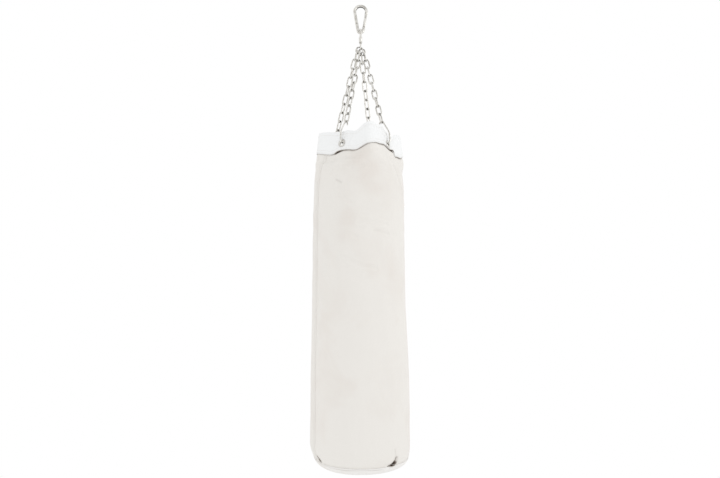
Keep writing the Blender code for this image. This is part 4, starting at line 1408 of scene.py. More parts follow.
def columns_round(count: int, start: float = 0.0) -> np.ndarray:
    """Even azimuths round the bag, from this one."""
    return start + 2 * np.pi * np.arange(count) / count


def unrolled(azimuths: np.ndarray, radius: float) -> np.ndarray:
    """How far round the bag each column is, and the first column again at the end."""
    return np.append(azimuths, azimuths[0] + 2 * np.pi) * radius


def loft(name: str, rings: np.ndarray, around: np.ndarray, down: np.ndarray,
         close_ends: bool = False, close_rows: bool = False) -> Mesh:
    """A closed skin of quads over rings of points, with a UV map in metres.

    Args:
        name: the mesh's name.
        rings: points, by row, column and coordinate. Rows run down the outside.
        around: the u of each column and of the first column again.
        down: the v of each row.
        close_ends: closes the first and the last ring with a fan.
        close_rows: joins the last row to the first, as on a band with two faces.

    Returns:
        The mesh.
    """
    rows, columns = rings.shape[:2]
    row = np.arange(rows if close_rows else rows - 1)[:, None]
    column = np.arange(columns)[None, :]
    below, beside = (row + 1) % rows, (column + 1) % columns
    quads = np.stack([row * columns + column, below * columns + column,
                      below * columns + beside, row * columns + beside], axis=-1)
    steps = np.append(down, down[-1] + (down[-1] - down[-2]))
    left, right, high, low = np.broadcast_arrays(around[:-1][None, :], around[1:][None, :],
                                                 steps[row], steps[row + 1])
    uvs = [np.stack([left, high, left, low, right, low, right, high], axis=-1).reshape(-1, 2)]
    faces = [tuple(map(int, quad)) for quad in quads.reshape(-1, 4)]
    points = list(rings.reshape(-1, 3))
    for ring, order in ((0, -1), (rows - 1, 1)) if close_ends else ():
        points.append(rings[ring].mean(axis=0))
        for i in range(columns):
            pair = (ring * columns + i, ring * columns + (i + 1) % columns)[::order]
            ends = [(around[i], down[ring]), (around[i + 1], down[ring])][::order]
            faces.append((*pair, len(points) - 1))
            uvs.append(np.array([*ends, (around[i], down[ring] + HUB_BEYOND)]))
    mesh = bpy.data.meshes.new(name)
    mesh.from_pydata(np.array(points).tolist(), [], faces)
    layer = mesh.uv_layers.new(name="cloth")
    layer.data.foreach_set("uv", np.concatenate(uvs).astype(np.float32).ravel())
    mesh.shade_smooth()
    return mesh


def lay_flat(mesh: Mesh) -> None:
    """Give a lofted mesh the UV map that is seen from above, in metres.

    Args:
        mesh: the mesh.
    """
    corners = np.zeros(len(mesh.loops), int)
    mesh.loops.foreach_get("vertex_index", corners)
    flat = read_points(mesh)[corners, :2]
    mesh.uv_layers["cloth"].data.foreach_set("uv", flat.astype(np.float32).ravel())


@dataclass
class Plan:
    """The shape that the cloth follows: the collar's outline and the body's stations.

    Waves are rows of azimuth, rise and half-width, and touches rows of azimuth, rise and how strong
    the painted shade under the collar's edge is there, with the angles in degrees. Stations are
    rows of height below the origin, radius, shift to the right and roundness.
    """

    thick: float = 0.0034
    rim_down: float = 0.4410045
    height: float = 0.0670
    tilt: float = radians(2.0)
    rim_dip: float = 0.0130
    seam_dip: float = 0.0090
    touch_span: float = 0.02
    fullness: float = 0.0070
    rim_waves: tuple = ((-7.0, -0.0170, 11.0), (42.0, 0.0160, 9.5), (76.0, -0.0110, 11.0))
    seam_waves: tuple = ((-10.0, -0.0100, 13.0), (44.0, 0.0120, 14.0), (92.0, -0.0120, 9.0))
    seam_touches: tuple = (
        (-100.0, 0.0, 0.35), (-77.5, 0.0006, 0.14), (-67.5, -0.0049, 0.14),
        (-56.5, -0.0085, 0.16), (-50.5, -0.0083, 0.18), (-47.6, -0.0062, 0.30),
        (-45.2, -0.0038, 1.10), (-41.3, 0.0001, 1.35), (-36.0, 0.0018, 0.90),
        (-30.8, 0.0028, 0.50), (-16.5, 0.0025, 0.38), (-4.5, -0.0053, 0.33),
        (1.8, -0.0059, 0.62), (8.0, -0.0024, 0.46), (13.8, -0.0005, 0.22), (21.0, 0.0031, 0.25),
        (37.5, 0.0027, 0.58), (50.0, 0.0055, 0.45), (62.0, 0.0070, 0.60), (70.0, 0.0083, 1.20),
        (74.6, 0.0085, 1.35), (76.2, -0.0040, 0.20), (77.6, -0.0120, 0.10),
        (79.5, -0.0103, 0.50), (84.8, -0.0055, 0.50), (94.8, 0.0010, 0.50), (115.0, 0.0, 0.40),
    )
    lean: float = 0.14
    corner: float = 0.1450
    squareness: int = 12
    hook_reach: float = 0.0212
    lap_gap: float = 0.0008
    lap_up: float = 0.0040
    bulge_down: float = 0.0200
    bulge_radius: float = 0.1435
    fold_swell: float = 0.55
    half_swell: float = 0.25
    fold_down: float = 0.0011
    canvas: float = 0.0022
    base_down: float = 1.4645
    base_flat: float = 0.1080
    base_thick: float = 0.0030
    base_gap: float = 0.0012
    base_start: float = radians(10.0)
    side_seam: float = radians(-62.0)
    taper_azimuth: float = radians(-72.0)
    taper_width: float = radians(34.0)
    taper_start: float = 1.4020
    taper_length: float = 0.042
    taper_depth: float = 0.0085
    mean_radius: float = 0.1465
    stations: tuple = (
        (0.5700, 0.1425, -0.003, 0.50), (0.6400, 0.1438, -0.005, 0.85),
        (0.7240, 0.1448, -0.006, 1.00), (0.8500, 0.1446, -0.006, 1.00),
        (0.9770, 0.1450, -0.005, 1.00), (1.1340, 0.1490, -0.003, 1.00),
        (1.2840, 0.1508, -0.002, 1.00), (1.3960, 0.1506, -0.002, 1.00),
        (1.4260, 0.1492, -0.002, 1.00), (1.4420, 0.1452, -0.002, 1.00),
    )

    def __post_init__(self) -> None:
        """Read the grommets' heights from the frame, and name the seam's and the foot's levels."""
        rise = sin(atan(self.lean)) * self.thick / 2
        self.holes = {p.name: middle_of("grommet_" + p.name).z + rise for p in ATTACHMENTS}
        self.flats = {p.name: p.radius + self.hook_reach + self.thick / 2 for p in ATTACHMENTS}
        self.seam_down = self.rim_down + self.height
        self.foot_down, self.foot_radius, self.foot_shift, _ = self.stations[-1]

    def outline(self, azimuth: float, level: float, corner: float) -> float:
        """The collar's radius in plan: four flats, and full corners within the corner radius.

        Args:
            azimuth: where round the bag.
            level: the height.
            corner: the radius that the corners reach out to.

        Returns:
            The distance from the axis.
        """
        total = (1.0 / corner) ** self.squareness
        for place in ATTACHMENTS:
            facing = cos(azimuth - place.azimuth)
            if facing > 0.0:
                flat = self.flats[place.name] + self.lean * (self.holes[place.name] - level)
                total += (facing / flat) ** self.squareness
        full = self.fullness * (1 - self.pulled_in(azimuth)) ** 2
        return total ** (-1.0 / self.squareness) + full

    def pulled_in(self, azimuth: float) -> float:
        """1 where a hook pulls the collar in, 0 at the rounded corners between."""
        nearest = min(abs(wrap(azimuth - place.azimuth)) for place in ATTACHMENTS)
        return cos(2 * min(nearest, pi / 4)) ** 2

    def from_hole(self, azimuth: float | np.ndarray, level: float | np.ndarray,
                  place: Attachment) -> tuple:
        """How far a point of the collar is beside a grommet's middle, and above it."""
        side = wrap(azimuth - place.azimuth) * self.flats[place.name]
        return side, level - self.holes[place.name]

    def edge(self, azimuth: float, down: float, dip: float, waves: tuple) -> float:
        """The height of an edge of the collar, before the touches along it.

        Args:
            azimuth: where round the bag.
            down: how far below the origin the edge is on the whole.
            dip: how far it sags where a hook pulls the collar in.
            waves: its waves.

        Returns:
            The height, with the tilt, the dips and the waves.
        """
        rise = self.corner * sin(azimuth) * tan(self.tilt) - dip * self.pulled_in(azimuth)
        return rise - down + sum(
            height * exp(-(wrap(azimuth - radians(place)) / radians(width)) ** 2)
            for place, height, width in waves)

    def rim(self, azimuth: float) -> float:
        """The height of the collar's rim."""
        return self.edge(azimuth, self.rim_down, self.rim_dip, self.rim_waves)

    def seam(self, azimuth: float) -> float:
        """The height of the collar's lower edge."""
        touches = sum(self.touch(azimuth + i * self.touch_span, 1) for i in (-1, 0, 1)) / 3
        return touches + self.edge(azimuth, self.seam_down, self.seam_dip, self.seam_waves)

    def touch(self, azimuth: float | np.ndarray, column: int) -> float | np.ndarray:
        """A column of the table of touches along the collar's lower edge, at these azimuths."""
        table = np.array(self.seam_touches)
        return np.interp(wrap(azimuth), np.radians(table[:, 0]), table[:, column])

    def taper(self, azimuth: float, down: float) -> float:
        """How far the lower left corner of the bag is drawn in."""
        near = exp(-(wrap(azimuth - self.taper_azimuth) / self.taper_width) ** 2)
        return self.taper_depth * near * ease(clamp((down - self.taper_start) / self.taper_length))

    def offset(self, azimuth: float, level: float, corner: float, inset: float) -> Vector:
        """A point of an outline in plan, moved in square to it.

        Args:
            azimuth: where round the bag.
            level: the height.
            corner: the corner radius.
            inset: how far the point moves in.

        Returns:
            The point.
        """
        step = 0.001
        here, before, after = [outward(a) * self.outline(a, level, corner)
                               for a in (azimuth, azimuth - step, azimuth + step)]
        along = (after - before).normalized()
        return here - Vector((along.y, -along.x, 0.0)) * inset + up(level)

    def body_rows(self, azimuth: float) -> list[Vector]:
        """The outer face of the body at this azimuth, from inside the collar down to the base.

        Args:
            azimuth: where round the bag.

        Returns:
            A point for each row of the CAD body.
        """
        tuck = self.thick + self.lap_gap
        rows = [
            self.offset(azimuth, self.seam(azimuth) - below, corner, inset)
            for below, corner, inset in (
                (-self.lap_up, self.corner, tuck), (self.fold_down, self.corner, tuck),
                (4 * self.fold_down, self.corner, tuck * self.fold_swell),
                (self.bulge_down / 2, self.bulge_radius, tuck * self.half_swell),
                (self.bulge_down, self.bulge_radius, 0.0))
        ]
        for down, radius, shift, roundness in self.stations:
            mixed = self.outline(azimuth, -down, radius) * (1 - roundness) + radius * roundness
            rows.append(outward(azimuth) * mixed + Vector((shift, 0.0, -down)))
        return rows

    def shift(self, down: float | np.ndarray) -> float | np.ndarray:
        """How far the body's middle stands to the right at these heights below the origin."""
        table = np.array(self.stations)
        return np.interp(down, table[:, 0], table[:, 2])

    def base_profile(self, steps: int) -> list[tuple[float, float]]:
        """The base panel's outer face from the seam to its flat middle.

        Args:
            steps: segments in its rounded edge.

        Returns:
            Points as radius and height below the origin.
        """
        start, first = self.foot_down + self.base_gap, self.base_start
        points = []
        for a in turns(steps, QUARTER - first, True):
            out = cos(first + a) / cos(first)
            deep = (sin(first + a) - sin(first)) / (1 - sin(first))
            points.append((self.base_flat + (self.foot_radius - self.base_flat) * out,
                           start + (self.base_down - start) * deep))
        return points


def smooth_rows(rows: np.ndarray, levels: np.ndarray, wanted: np.ndarray) -> np.ndarray:
    """Rows of points between given rows, on a curve that doesn't overshoot.

    Args:
        rows: the given rows, by row, column and coordinate.
        levels: the parameter of each given row, growing.
        wanted: the parameters of the rows to make.

    Returns:
        The new rows.
    """
    slopes = np.diff(rows, axis=0) / np.diff(levels)[:, None, None]
    before, after = slopes[:-1], slopes[1:]
    same = before * after > 0
    inner = np.where(same, 2 * before * after / np.where(same, before + after, 1.0), 0.0)
    tangents = np.concatenate([slopes[:1], inner, slopes[-1:]])
    index = np.clip(np.searchsorted(levels, wanted, side="right") - 1, 0, len(levels) - 2)
    width = np.diff(levels)[index][:, None, None]
    t = (wanted - levels[index])[:, None, None] / width
    return ((2 * t ** 3 - 3 * t ** 2 + 1) * rows[index]
            + (t ** 3 - 2 * t ** 2 + t) * width * tangents[index]
            + (-2 * t ** 3 + 3 * t ** 2) * rows[index + 1]
            + (t ** 3 - t ** 2) * width * tangents[index + 1])


@dataclass(frozen=True)
class Crease:
    """A fold pressed into the body: a line of azimuths (degrees) and heights below the origin."""

    line: tuple[tuple[float, float], ...]
    depth: float
    width: float
    lip: float = 0.0
    # the shade painted along the fold, and how far it spreads
    shade_and_grime: float = 0.0
    shade_spread: float = 0.6

    def measure(self, around: np.ndarray, down: np.ndarray, radius: float) -> np.ndarray:
        """How near each point of the cloth is to the line.

        Args:
            around: the azimuths of the points, in radians.
            down: their heights below the origin.
            radius: the bag's radius, which turns angles into lengths.

        Returns:
            The distances in widths.
        """
        nearest = np.full(around.shape, np.inf)
        for (a0, d0), (a1, d1) in zip(self.line, self.line[1:]):
            px, py = wrap(around - radians(a0)) * radius, down - d0
            vx, vy = radians(a1 - a0) * radius, d1 - d0
            t = np.clip((px * vx + py * vy) / (vx * vx + vy * vy), 0.0, 1.0)
            nearest = np.minimum(nearest, np.hypot(px - t * vx, py - t * vy))
        return nearest / self.width


@dataclass
class StuffedBody:
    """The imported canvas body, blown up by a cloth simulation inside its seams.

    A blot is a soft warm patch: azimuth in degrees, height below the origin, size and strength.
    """

    plan: Plan
    finishes: Finishes
    columns: int = 144
    wall_rows: int = 132
    crowding: float = 0.045
    start_inset: float = 0.0016
    cap: float = 0.0050
    pressure: float = 4.0
    growth: float = -0.012
    frames: int = 20
    floor_gap: float = 0.0034
    top_down: float = 0.0125
    held_weights: tuple = (1.0, 1.0, 0.8, 0.4)
    inset_rows: float = 6.0
    top_held_rows: float = 14.0
    foot_held_rows: float = 6.0
    top_shares: tuple = (0.2, 0.45, 0.7, 0.9, 0.985)
    bottom_radii: tuple = (0.08, 0.045, 0.015)
    row_step: float = 0.004
    # painted shade: a dark line just under the collar's edge, and a faint one along the base seam
    seam_darkening: float = 1.05
    seam_shade_down: float = 0.0030
    seam_shade_fade: float = 0.0026
    foot_shade: float = 0.07
    foot_shade_fade: float = 0.0020
    wrinkle_fades: tuple = (0.03, 0.02)
    stain_rate: float = 30.0
    most: float = 1.3
    creases: tuple[Crease, ...] = (
        Crease(((43.6, 1.4195), (42.0, 1.4270), (39.8, 1.4335), (37.0, 1.4380), (33.0, 1.4398)),
               0.0042, 0.0034, 0.4, 0.55, 0.9),
        Crease(((41.4, 1.4330), (39.2, 1.4375), (38.2, 1.4395)), 0.0010, 0.0034, 0.0, 1.3, 1.8),
        Crease(((41.0, 1.3950), (43.0, 1.4220)), 0.0012, 0.0036, 0.3, 0.12),
        Crease(((-60.0, 1.4200), (-56.0, 1.4262), (-51.3, 1.4350)), 0.0026, 0.0026, 0.4, 1.0, 1.0),
        Crease(((-54.0, 1.4305), (-51.8, 1.4340)), 0.0006, 0.0026, 0.0, 1.2, 1.5),
        Crease(((53.5, 0.5400), (61.5, 0.6071), (72.0, 0.6350), (82.0, 0.6522)), 0.0032, 0.0110,
               0.35, 0.04),
        Crease(((-27.0, 0.6670), (-18.0, 0.6800), (-8.0, 0.6950)), 0.0011, 0.0050, 0.5),
        Crease(((-18.0, 0.8560), (-8.0, 0.8660), (6.0, 0.8800), (20.0, 0.8840)), 0.0012, 0.0050,
               0.5),
        Crease(((0.0, 0.7500), (16.0, 0.7480), (34.0, 0.7540)), 0.0011, 0.0050, 0.5),
        Crease(((18.0, 0.7740), (30.0, 0.7750), (37.0, 0.7820)), 0.0012, 0.0045, 0.5, 0.05),
        Crease(((-13.0, 0.7840), (-6.0, 0.7900), (-2.0, 0.7930)), 0.0009, 0.0045, 0.5),
        Crease(((-24.0, 0.5720), (-10.0, 0.5860), (2.0, 0.5800)), 0.0010, 0.0060, 0.5),
        Crease(((-37.0, 0.5980), (-29.0, 0.6100), (-24.0, 0.6220)), 0.0011, 0.0045, 0.6),
        Crease(((-29.0, 0.6190), (-22.0, 0.6290)), 0.0007, 0.0030, 0.4, 0.14, 1.0),
    )
    blots: tuple[tuple[float, float, float, float], ...] = (
        (0.0, 0.5500, 0.046, 0.25), (12.0, 0.6000, 0.044, 0.25), (19.0, 0.6400, 0.026, 0.17),
        (-11.0, 0.7350, 0.030, 0.20), (-17.0, 0.7880, 0.024, 0.15), (52.0, 0.9300, 0.060, 0.10),
        (-110.0, 0.7600, 0.070, 0.25), (160.0, 1.0200, 0.080, 0.25), (115.0, 1.2600, 0.070, 0.2),
    )

    def build(self) -> Object:
        """Make the body.

        Returns:
            The piece.
        """
        azimuths = columns_round(self.columns, self.plan.side_seam)
        wall, wanted = self.wall(azimuths)
        top, bottom = self.inner_top(wall[0], azimuths), self.inner_bottom(azimuths)
        down = np.concatenate([wanted[0] - self.row_step * np.arange(len(top), 0, -1), wanted,
                               wanted[-1] + self.row_step * np.arange(1, len(bottom) + 1)])
        mesh = loft("stuffed_body", np.concatenate([top, wall, bottom]),
                    unrolled(azimuths, self.plan.mean_radius), down, close_ends=True)
        body = link_object("stuffed_body", mesh, self.finishes.body)
        self.first = len(top) * self.columns
        self.last = self.first + self.wall_rows * self.columns
        on_wall = np.zeros(len(mesh.vertices))
        on_wall[self.first:self.last] = 1.0
        store(mesh, "wall", on_wall)
        self.blow_up(body)
        divided = body.modifiers.new("fine", "SUBSURF")
        divided.levels = divided.render_levels = 1
        settle(body)
        self.sculpt(body.data, wanted[-1])
        body.data.shade_smooth()
        attach(body, Body.BAG, Slot.CANVAS, "canvas_body", "filling")
        return body

    def wall(self, azimuths: np.ndarray) -> tuple[np.ndarray, np.ndarray]:
        """The rings of the wall, closer together near its ends.

        Args:
            azimuths: the columns.

        Returns:
            The rings, and how far down each row is on the whole.
        """
        rows = np.array([[tuple(p) for p in self.plan.body_rows(a)] for a in azimuths])
        rows = rows.transpose(1, 0, 2)
        levels = -rows[:, :, 2].mean(axis=1)
        share = np.linspace(0.0, 1.0, self.wall_rows)
        share -= self.crowding * np.sin(2 * np.pi * share)
        wanted = levels[0] + (levels[-1] - levels[0]) * np.clip(share, 0.0, 1.0)
        wall = smooth_rows(rows, levels, wanted)
        drawn = np.array([[self.plan.taper(a, d) for a in azimuths] for d in wanted])
        wall[:, :, 0] -= drawn * np.sin(azimuths)
        wall[:, :, 1] += drawn * np.cos(azimuths)
        return wall, wanted

    def inner_top(self, edge: np.ndarray, azimuths: np.ndarray) -> np.ndarray:
        """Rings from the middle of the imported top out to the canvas's turned edge.

        Args:
            edge: the first ring of the wall.
            azimuths: the columns.

        Returns:
            The rings, the innermost first.
        """
        lip = edge.copy()
        lip[:, :2] -= np.stack([np.sin(azimuths), -np.cos(azimuths)], axis=1) * self.plan.canvas
        level = -(self.plan.seam_down + self.top_down)
        rings = []
        for share in self.top_shares:
            ring = lip * share
            ring[:, 2] = level + 0.0005 * (1 - share)
            rings.append(ring)
        return np.array([*rings, lip])

    def inner_bottom(self, azimuths: np.ndarray) -> np.ndarray:
        """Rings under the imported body, just above the base panel.

        Args:
            azimuths: the columns.

        Returns:
            The rings, the innermost last.
        """
        profile = [(r - self.floor_gap, d - self.floor_gap)
                   for r, d in self.plan.base_profile(4)[1:]]
        rings = []
        for radius, down in profile + [(r, profile[-1][1]) for r in self.bottom_radii]:
            near = radius - np.array([self.plan.taper(a, down) for a in azimuths])
            rings.append(np.stack([np.sin(azimuths) * near + self.plan.foot_shift,
                                   -np.cos(azimuths) * near, np.full(len(azimuths), -down)],
                                  axis=1))
        return np.array(rings)

    def blow_up(self, body: Object) -> None:
        """Fill the body with a cloth simulation and keep the result as its mesh.

        Args:
            body: the piece, its edges held where they are sewn.
        """
        rest = read_points(body.data)
        start = rest.copy()
        wall = slice(self.first, self.last)
        row = np.arange(self.last - self.first) // self.columns
        rows_up = self.wall_rows - 1 - row
        middles = rest[wall, :2].reshape(-1, self.columns, 2).mean(axis=1)
        axis = rest[wall, :2] - middles.repeat(self.columns, axis=0)
        axis /= np.linalg.norm(axis, axis=1, keepdims=True)
        inset = self.start_inset * np.clip(np.minimum(row, rows_up) / self.inset_rows, 0.0, 1.0)
        start[wall, :2] -= axis * inset[:, None]
        body.data.vertices.foreach_set("co", start.ravel())
        sewn = body.vertex_groups.new(name="sewn")
        sewn.add([*range(self.first), *range(self.last, len(rest))], 1.0, "REPLACE")
        for level, weight in enumerate(self.held_weights):
            for ring in (level, self.wall_rows - 1 - level):
                begin = self.first + ring * self.columns
                sewn.add(list(range(begin, begin + self.columns)), weight, "REPLACE")
        self.simulate(body)
        body.vertex_groups.clear()
        step = read_points(body.data) - rest
        length = np.linalg.norm(step, axis=1, keepdims=True)
        LOG.info("body moved up to %.4f m, %.4f m on average", length.max(), length.mean())
        step *= np.minimum(1.0, self.cap / np.maximum(length, 1e-9))
        free = ease(np.clip(row / self.top_held_rows, 0.0, 1.0))
        free *= np.clip(rows_up / self.foot_held_rows, 0.0, 1.0)
        step[wall] *= free[:, None]
        body.data.vertices.foreach_set("co", (rest + step).ravel())
        body.data.update()

    def simulate(self, body: Object) -> None:
        """Run the cloth simulation and keep its last frame.

        Args:
            body: the piece with its vertex group sewn.
        """
        cloth = body.modifiers.new("packed", "CLOTH")
        for name, value in {
            "quality": 6, "mass": 0.3, "tension_stiffness": 12.0, "compression_stiffness": 12.0,
            "shear_stiffness": 8.0, "bending_stiffness": 0.6, "tension_damping": 5.0,
            "compression_damping": 5.0, "air_damping": 4.0, "shrink_min": self.growth,
            "shrink_max": self.growth, "use_pressure": True,
            "uniform_pressure_force": self.pressure, "vertex_group_mass": "sewn",
        }.items():
            setattr(cloth.settings, name, value)
        cloth.settings.effector_weights.gravity = 0.0
        cloth.collision_settings.use_collision = False
        cloth.point_cache.frame_start = 1
        cloth.point_cache.frame_end = self.frames
        for number in range(1, self.frames + 1):
            bpy.context.scene.frame_set(number)
        settle(body)
        bpy.context.scene.frame_set(1)

    def sculpt(self, mesh: Mesh, foot: float) -> None:
        """Press the folds and the wrinkles into the wall, and paint its patches and the shade along
        its seams and creases.

        Args:
            mesh: the body's mesh, after its subdivision.
            foot: how far below the origin the wall ends.
        """
        points, normals = read_points(mesh), np.zeros(len(mesh.vertices) * 3)
        walls = np.zeros(len(points))
        mesh.vertex_normals.foreach_get("vector", normals)
        mesh.attributes["wall"].data.foreach_get("value", walls)
        wall = walls > 0.5
        spot = points[wall]
        level = -spot[:, 2]
        around = np.arctan2(spot[:, 0] - self.plan.shift(level), -spot[:, 1])
        angles = np.radians(np.arange(-180.0, 180.5, 0.5))
        # painted shade: a dark line under the collar's lower edge, as strong as the table of
        # touches says, and a faint one along the base seam
        below = level + np.interp(around, angles, [self.plan.seam(a) for a in angles])
        shade_and_dirt = np.interp(around, angles, [self.seam_shade_strength(a) for a in angles])
        shade_and_grime = shade_and_dirt * bell(below - self.seam_shade_down * shade_and_dirt, self.seam_shade_fade)
        shade_and_grime = np.maximum(self.seam_darkening * shade_and_grime, self.foot_shade
                           * np.exp(-((foot - level) / self.foot_shade_fade) ** 2))
        fade = [np.clip(far / reach, 0.0, 1.0)
                for far, reach in zip((below, foot - level), self.wrinkle_fades)]
        height = np.prod(fade, axis=0) * [self.wrinkle(a, d) for a, d in zip(around, level)]
        # each crease is pressed in, with a lip beside it, and painted with shade along its fold
        for crease in self.creases:
            near = crease.measure(around, level, self.plan.mean_radius)
            height -= crease.depth * np.exp(-near ** 2)
            height += crease.depth * crease.lip * np.exp(-(near - 2.0) ** 2 / 0.8)
            shade_and_grime = np.maximum(shade_and_grime, crease.shade_and_grime * np.exp(-(near / crease.shade_spread) ** 2))
        rough = 0.5 * np.array([noise.noise(Vector(p) * self.stain_rate) for p in spot])
        blot = np.zeros(len(spot))
        for centre, down, size, strength in self.blots:
            beside = wrap(around - radians(centre)) * self.plan.mean_radius
            far = np.hypot(beside, level - down) / size + rough
            blot = np.maximum(blot, strength * np.exp(-np.maximum(0.0, far) ** 3))
        points[wall] = spot + normals.reshape(-1, 3)[wall] * height[:, None]
        mesh.vertices.foreach_set("co", points.ravel())
        for name, values in (("shade_and_grime", shade_and_grime), ("blot", blot)):
            whole = np.zeros(len(points))
            whole[wall] = values
            store(mesh, name, np.clip(whole, 0.0, self.most))
        mesh.attributes.remove(mesh.attributes["wall"])
        mesh.update()

    def seam_shade_strength(self, azimuth: float) -> float:
        """How strong the painted shade is under the collar's edge, round the bag."""
        rough = noise.noise((7.0 * sin(azimuth), 7.0 * cos(azimuth), 3.3))
        return self.plan.touch(azimuth, 2) * (1.0 + 0.3 * rough)

    @staticmethod
    def wrinkle(azimuth: float, down: float) -> float:
        """The height of the soft level wrinkles of canvas that settles under its own weight.

        Args:
            azimuth: where round the bag.
            down: the height below the origin.

        Returns:
            The height of the cloth there.
        """
        x, y = sin(azimuth), cos(azimuth)
        sway = 0.012 * noise.noise((2.2 * x, 2.2 * y, 4.0 * down))
        band = noise.noise((1.6 * x + 7.0, 1.6 * y, 26.0 * (down + sway)))
        dent = noise.noise((4.0 * x, 4.0 * y + 5.0, 9.0 * down))
        upper = exp(-((down - 0.66) / 0.16) ** 2)
        return (0.0006 + 0.0011 * upper) * band + 0.0009 * dent


class Surface:
    """Finds points on a finished piece by looking in from outside."""

    START = 0.30  # lines of sight start this far from the axis

    def __init__(self, piece: Object) -> None:
        """Build the search tree of the piece.

        Args:
            piece: the piece.
        """
        mesh = piece.data
        self.tree = BVHTree.FromPolygons([v.co for v in mesh.vertices],
                                         [p.vertices for p in mesh.polygons])

    def at(self, azimuth: float, level: float, shift: float = 0.0) -> tuple[Vector, Vector]:
        """The outermost point in a direction.

        Args:
            azimuth: where round the bag.
            level: the height.
            shift: how far to the right the middle is that the azimuth is measured from.

        Returns:
            The point and the surface's normal there.
        """
        out = outward(azimuth)
        start = out * self.START + Vector((shift, 0.0, level))
        place, normal, _, _ = self.tree.ray_cast(start, -out)
        return place, normal if normal.dot(out) > 0.0 else -normal


@dataclass
class Sewing:
    """Rows of stitches, made with the stitch tree."""

    trees: ShapeTrees
    finishes: Finishes
    pitch: float = 0.0046
    length: float = 0.0036
    thread: float = 0.00042

    def sew(self, name: str, lines: list[list[tuple[Vector, Vector]]],
            closed: bool = False) -> None:
        """Sew along lines of points and normals.

        Args:
            name: the piece's name.
            lines: the rows, each a list of points with the cloth's normals.
            closed: whether each row runs all the way round.
        """
        mesh = polylines(name, [[p for p, _ in line] for line in lines], closed,
                         facing=[n for line in lines for _, n in line])
        row = self.trees.run(Shape.STITCHES, mesh, Pitch=self.pitch, Length=self.length,
                             Thread=self.thread, Material=self.finishes.thread)
        attach(row, Body.BAG, Slot.CANVAS)


